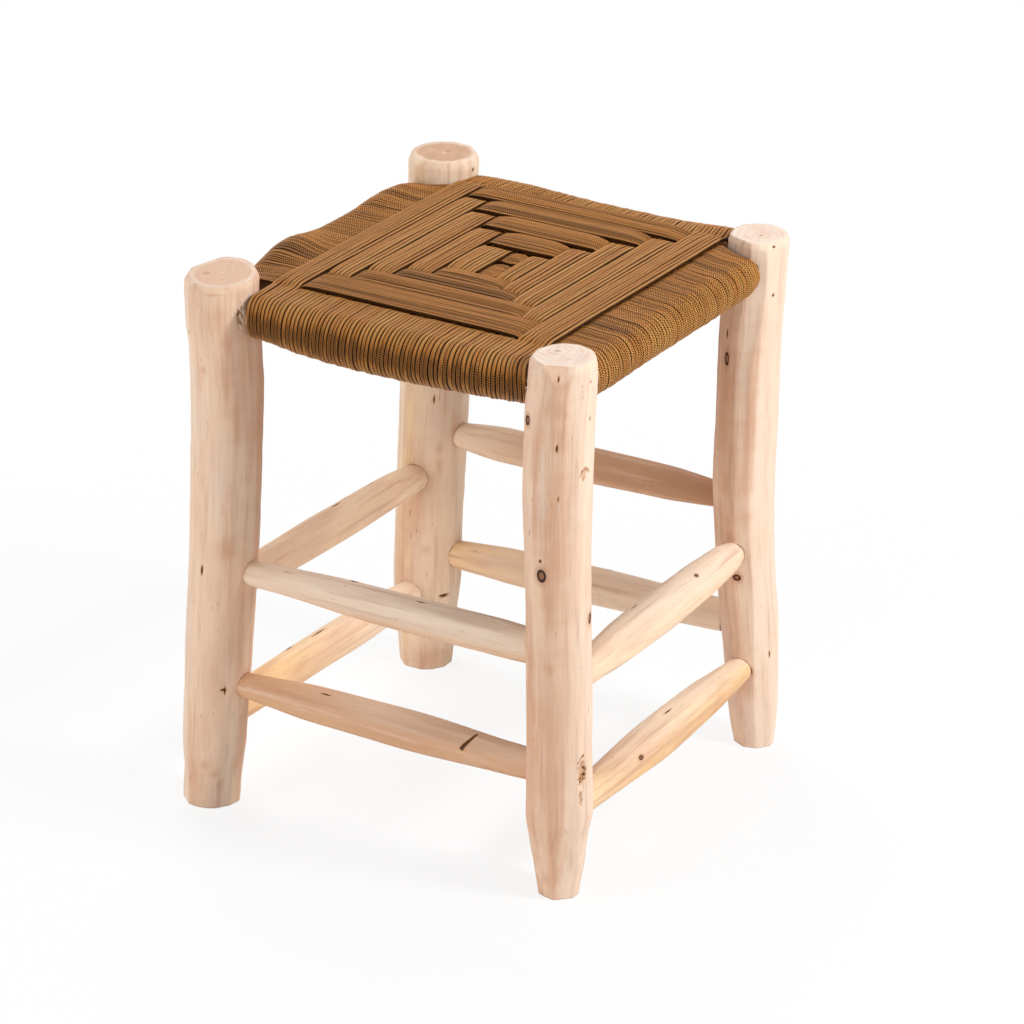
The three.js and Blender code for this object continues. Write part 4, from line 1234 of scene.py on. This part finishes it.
def cord_band(node, index, edges, crossed, rails, is_over, low_level, look, material):
    """Band of cords side by side. Each cord is an oval section carried along the band's route, at
    its own place across the band, with small chance wandering of its own."""
    draw = np.random.default_rng(look["seed"])
    axis = 1 - rails[0].axis
    levels = [look["over"] if is_over(i) else look["under"] for i in range(len(crossed) - 1)]
    place, height, lift, wrap = band_route(rails, crossed, levels, look["arch"], low_level)
    on_rails = [edges_on_rail(edges, rail) for rail in rails]
    low, high = band_sides(index, edges, rails, on_rails, place, look["turns_in"])
    weave = ease((place - crossed[0]) / NARROWING_RUN) * ease((crossed[-1] - place) / NARROWING_RUN)
    slack = (BAND_SPACING + look["pinch"] * (high - low) * (1 - lift)) * weave
    width = high - low - slack
    middle = (low + high + look["lean"] * slack) / 2
    count = max(3, round((edges[index + 1] - edges[index]) / CORD_PITCH))
    slimness = np.clip(1 + CORD_UNLIKENESS * draw.standard_normal((count, 1)), 0.75, 1.25)
    part = slimness / slimness.sum()
    share = np.cumsum(part)[:, None] - part / 2
    loop = np.arange(len(place)) / len(place)
    stray = CORD_STRAY * closed_waves(loop, (2, 5, 9), count, draw)
    rise = CORD_RISE * closed_waves(loop, (3, 6, 11), count, draw)
    across = middle + (share - 0.5) * width + stray
    crown = look["crown"] * (1 - (2 * share - 1) ** 2) * (0.4 + lift)
    route = np.zeros((*across.shape, 3))
    route[..., axis], route[..., 1 - axis] = place, across
    route[..., 2] = height + crown + rise + draw.uniform(-CORD_STEP, CORD_STEP, (count, 1))
    beside, face = ways_along(route, axis)
    belly, painted_light = on_the_rails(place, across, wrap, face[..., axis], rails, on_rails)
    route = route + face * belly[..., None]
    half_width = (width * part / 2)[:, :, None, None]
    turn = 2 * np.pi * (np.arange(CORD_SIDES) + 0.5) / CORD_SIDES
    section = (
        np.cos(turn)[:, None] * beside[:, :, None, :] * half_width
        + np.sin(turn)[:, None] * face[:, :, None, :] * CORD_THICKNESS / 2
    )
    points = route[:, :, None, :] + section
    mesh = cord_mesh("cord_" + node, points, route)
    # Each cord's own dye, the band's painted sheen, and the painted light and shade on the rails
    dye_and_painted_light = 0.5 + look["dye_and_painted_light"] + draw.uniform(-DYE_SPREAD, DYE_SPREAD, (count, 1)) + painted_light
    dye_and_painted_light = np.broadcast_to(np.clip(dye_and_painted_light, 0, 1)[..., None], points.shape[:3])
    mesh.attributes.new("dye_and_painted_light", "FLOAT", "POINT").data.foreach_set("value", dye_and_painted_light.ravel())
    shown_piece("cord_" + node, mesh, node, [material])


def cord_mesh(name, points, route):
    """Closed tubes from points by cord, station and side. The map's u goes round each cord and v
    counts whole picks of the braid along it."""
    cords, stations, around = points.shape[:3]
    cord = np.arange(cords)[:, None, None] * stations * around
    station = np.arange(stations)[None, :, None]
    side = np.arange(around)[None, None, :]
    onward, beside = (station + 1) % stations, (side + 1) % around
    quads = np.stack(np.broadcast_arrays(
        cord + station * around + side, cord + station * around + beside,
        cord + onward * around + beside, cord + onward * around + side,
    ), -1).reshape(-1, 4)
    mesh = bpy.data.meshes.new(name)
    mesh.from_pydata(points.reshape(-1, 3) * MM, [], quads[:, ::-1].tolist())
    steps = np.linalg.norm(np.roll(route, -1, 1) - route, axis=-1)
    travelled = np.concatenate([np.zeros((cords, 1)), np.cumsum(steps, 1)], 1)
    picks = travelled / travelled[:, -1:] * np.round(travelled[:, -1:] / BRAID_PICK / 2) * 2
    start, finish = picks[:, :-1, None], picks[:, 1:, None]
    low, high = (side + 0.5) / around, (side + 1.5) / around
    corners = [(low, start), (high, start), (high, finish), (low, finish)]
    corners = np.stack([np.stack(np.broadcast_arrays(*corner), -1) for corner in corners], -2)
    braid = mesh.uv_layers.new(name="braid")
    braid.data.foreach_set("uv", corners[..., ::-1, :].ravel())
    return mesh


# Looks of the left-to-right bands: how far a band rises where it is on top, how much narrower it is
# at its dives and to which side, and its level on top. Those near the back stand up most.
CROSS_ARCHES = (0.8, 0.6, 0.6, 0.5, 0.2, 0.4, 2, 2.2, 2.4, 2)
CROSS_PINCHES = (0.04, 0.04, 0.04, 0.04, 0.3, 0.3, 0.2, 0.2, 0.2, 0.14)
CROSS_LEANS = (0, 0, 0, 0, 0.3, 0.3, 0.8, 0.8, 0.8, 0.6)
CROSS_OVERS = (*(LEVEL_STEP,) * 4, 0.6, 0.8, *(LEVEL_STEP,) * 4)
# How much lower the middle front-to-back band dives, and how far inside the second square a band
# begins to turn towards its place on the rail
MIDDLE_DIVE = 1.2
TURN_IN = 4


def woven_seat(material):
    """Front-to-back bands, then left-to-right bands, each wound round two rails."""
    long_count, cross_count = len(LONG_EDGES) - 1, len(CROSS_EDGES) - 1
    for long in range(long_count):
        is_middle = rank_of(long, long_count) >= long_count // 2
        # Front-to-back bands are painted lighter, as a painted sheen
        look = dict(
            seed=100 + long, arch=0.7, crown=0.5, pinch=0.05, lean=0, dye_and_painted_light=0.16,
            over=LEVEL_STEP, under=-LEVEL_STEP - (MIDDLE_DIVE if is_middle else 0),
            turns_in=(CROSS_EDGES[0] - TURN_IN, CROSS_EDGES[-1] + TURN_IN),
        )
        cord_band(
            f"band_front_back_{long + 1:02d}", long, LONG_EDGES, CROSS_EDGES,
            (RAILS["front"], RAILS["back"]),
            lambda cross, long=long: long_is_on_top(long, cross), -LEVEL_STEP, look, material,
        )
    for cross in range(cross_count):
        # Left-to-right bands are painted darker, as painted shade
        look = dict(
            seed=200 + cross, arch=CROSS_ARCHES[cross], crown=0.8, pinch=CROSS_PINCHES[cross],
            lean=CROSS_LEANS[cross], over=CROSS_OVERS[cross], under=-LEVEL_STEP,
            dye_and_painted_light=-0.14, turns_in=(LONG_EDGES[1] + TURN_IN, LONG_EDGES[-2] - TURN_IN),
        )
        cord_band(
            f"band_left_right_{cross + 1:02d}", cross, CROSS_EDGES, LONG_EDGES,
            (RAILS["left"], RAILS["right"]),
            lambda long, cross=cross: not long_is_on_top(long, cross), LEVEL_STEP, look, material,
        )


# Seat rail's clear length: share of the way and share of the diameter, thin only at its ends
RAIL_PROFILE = [(0, 0.6), (0.02, 0.62), (0.08, 1), (0.92, 1), (0.98, 0.62), (1, 0.6)]


def seat_rails(material):
    """Round poles with thinner tenons, which show only between the cords and the legs."""
    for name, rail in RAILS.items():
        ends = rail.ends(rail.height)
        start, end = np.zeros(3), np.zeros(3)
        for point, place in ((start, ends[0]), (end, ends[1])):
            point[rail.axis], point[1 - rail.axis], point[2] = place, rail.place, rail.height
        look = dict(
            seed=30 + rail.axis, diameter=rail.diameter, turn=0, uneven=0, cut=0.2, knots=[],
            flecks=[], tones=((0.6, 0, 0.4), (0.6, 0, 0.4)), painted_lit_side=(90, 0),
        )
        whittled_stick(
            "pole_rail_" + name, "seat_rail_" + name, material, start, end,
            (0, ends[1] - ends[0]), RAIL_PROFILE, look,
        )


def paper_sweep():
    """Level floor, wide enough to fill every view of the stool."""
    half, drop = 15.0, 0.2 * MM
    mesh = bpy.data.meshes.new("paper_sweep")
    mesh.from_pydata([
        (-half, -half, -drop), (half, -half, -drop), (half, half, -drop), (-half, half, -drop),
    ], [], [(0, 1, 2, 3)])
    mesh.materials.append(paper_floor("white_paper"))
    floor = placed("paper_sweep", mesh)


# Lamps: azimuth and elevation in degrees, distance and size in metres, and power in watts
SOFTBOXES = {
    "top_softbox": (-130, 55, 1.8, 0.8, 11.5),
    "high_softbox": (0, 50, 2.2, 1, 3),
    "right_softbox": (94, 38, 2.2, 0.5, 34),
    "left_softbox": (-35, 12, 2.4, 1.2, 18),
}
# Strength of the light from all round, beside the lamps
ROOM_LIGHT = 0.37

photo_camera()
white_world()
for softbox_name, lamp in SOFTBOXES.items():
    softbox(softbox_name, *lamp)
paper_sweep()

log = bare_wood("peeled_poplar_log", "#ecc9ae", "#d39f7e", 0.7)
head = sawn_end_grain("sawn_poplar_end_grain")
for leg_name, leg in LEGS.items():
    peeled_leg(leg_name, leg, [log, head])
whittled = bare_wood("whittled_poplar_stick", "#edcdad", "#d3a07c", 0.65)
for rung_name, rung in RUNGS.items():
    whittled_rung(rung_name, rung, whittled)
seat_rails(bare_wood("debarked_poplar_pole", "#e3c19c", "#c99a72", 0.8))
woven_seat(braided_cord("braided_viscose_cord"))
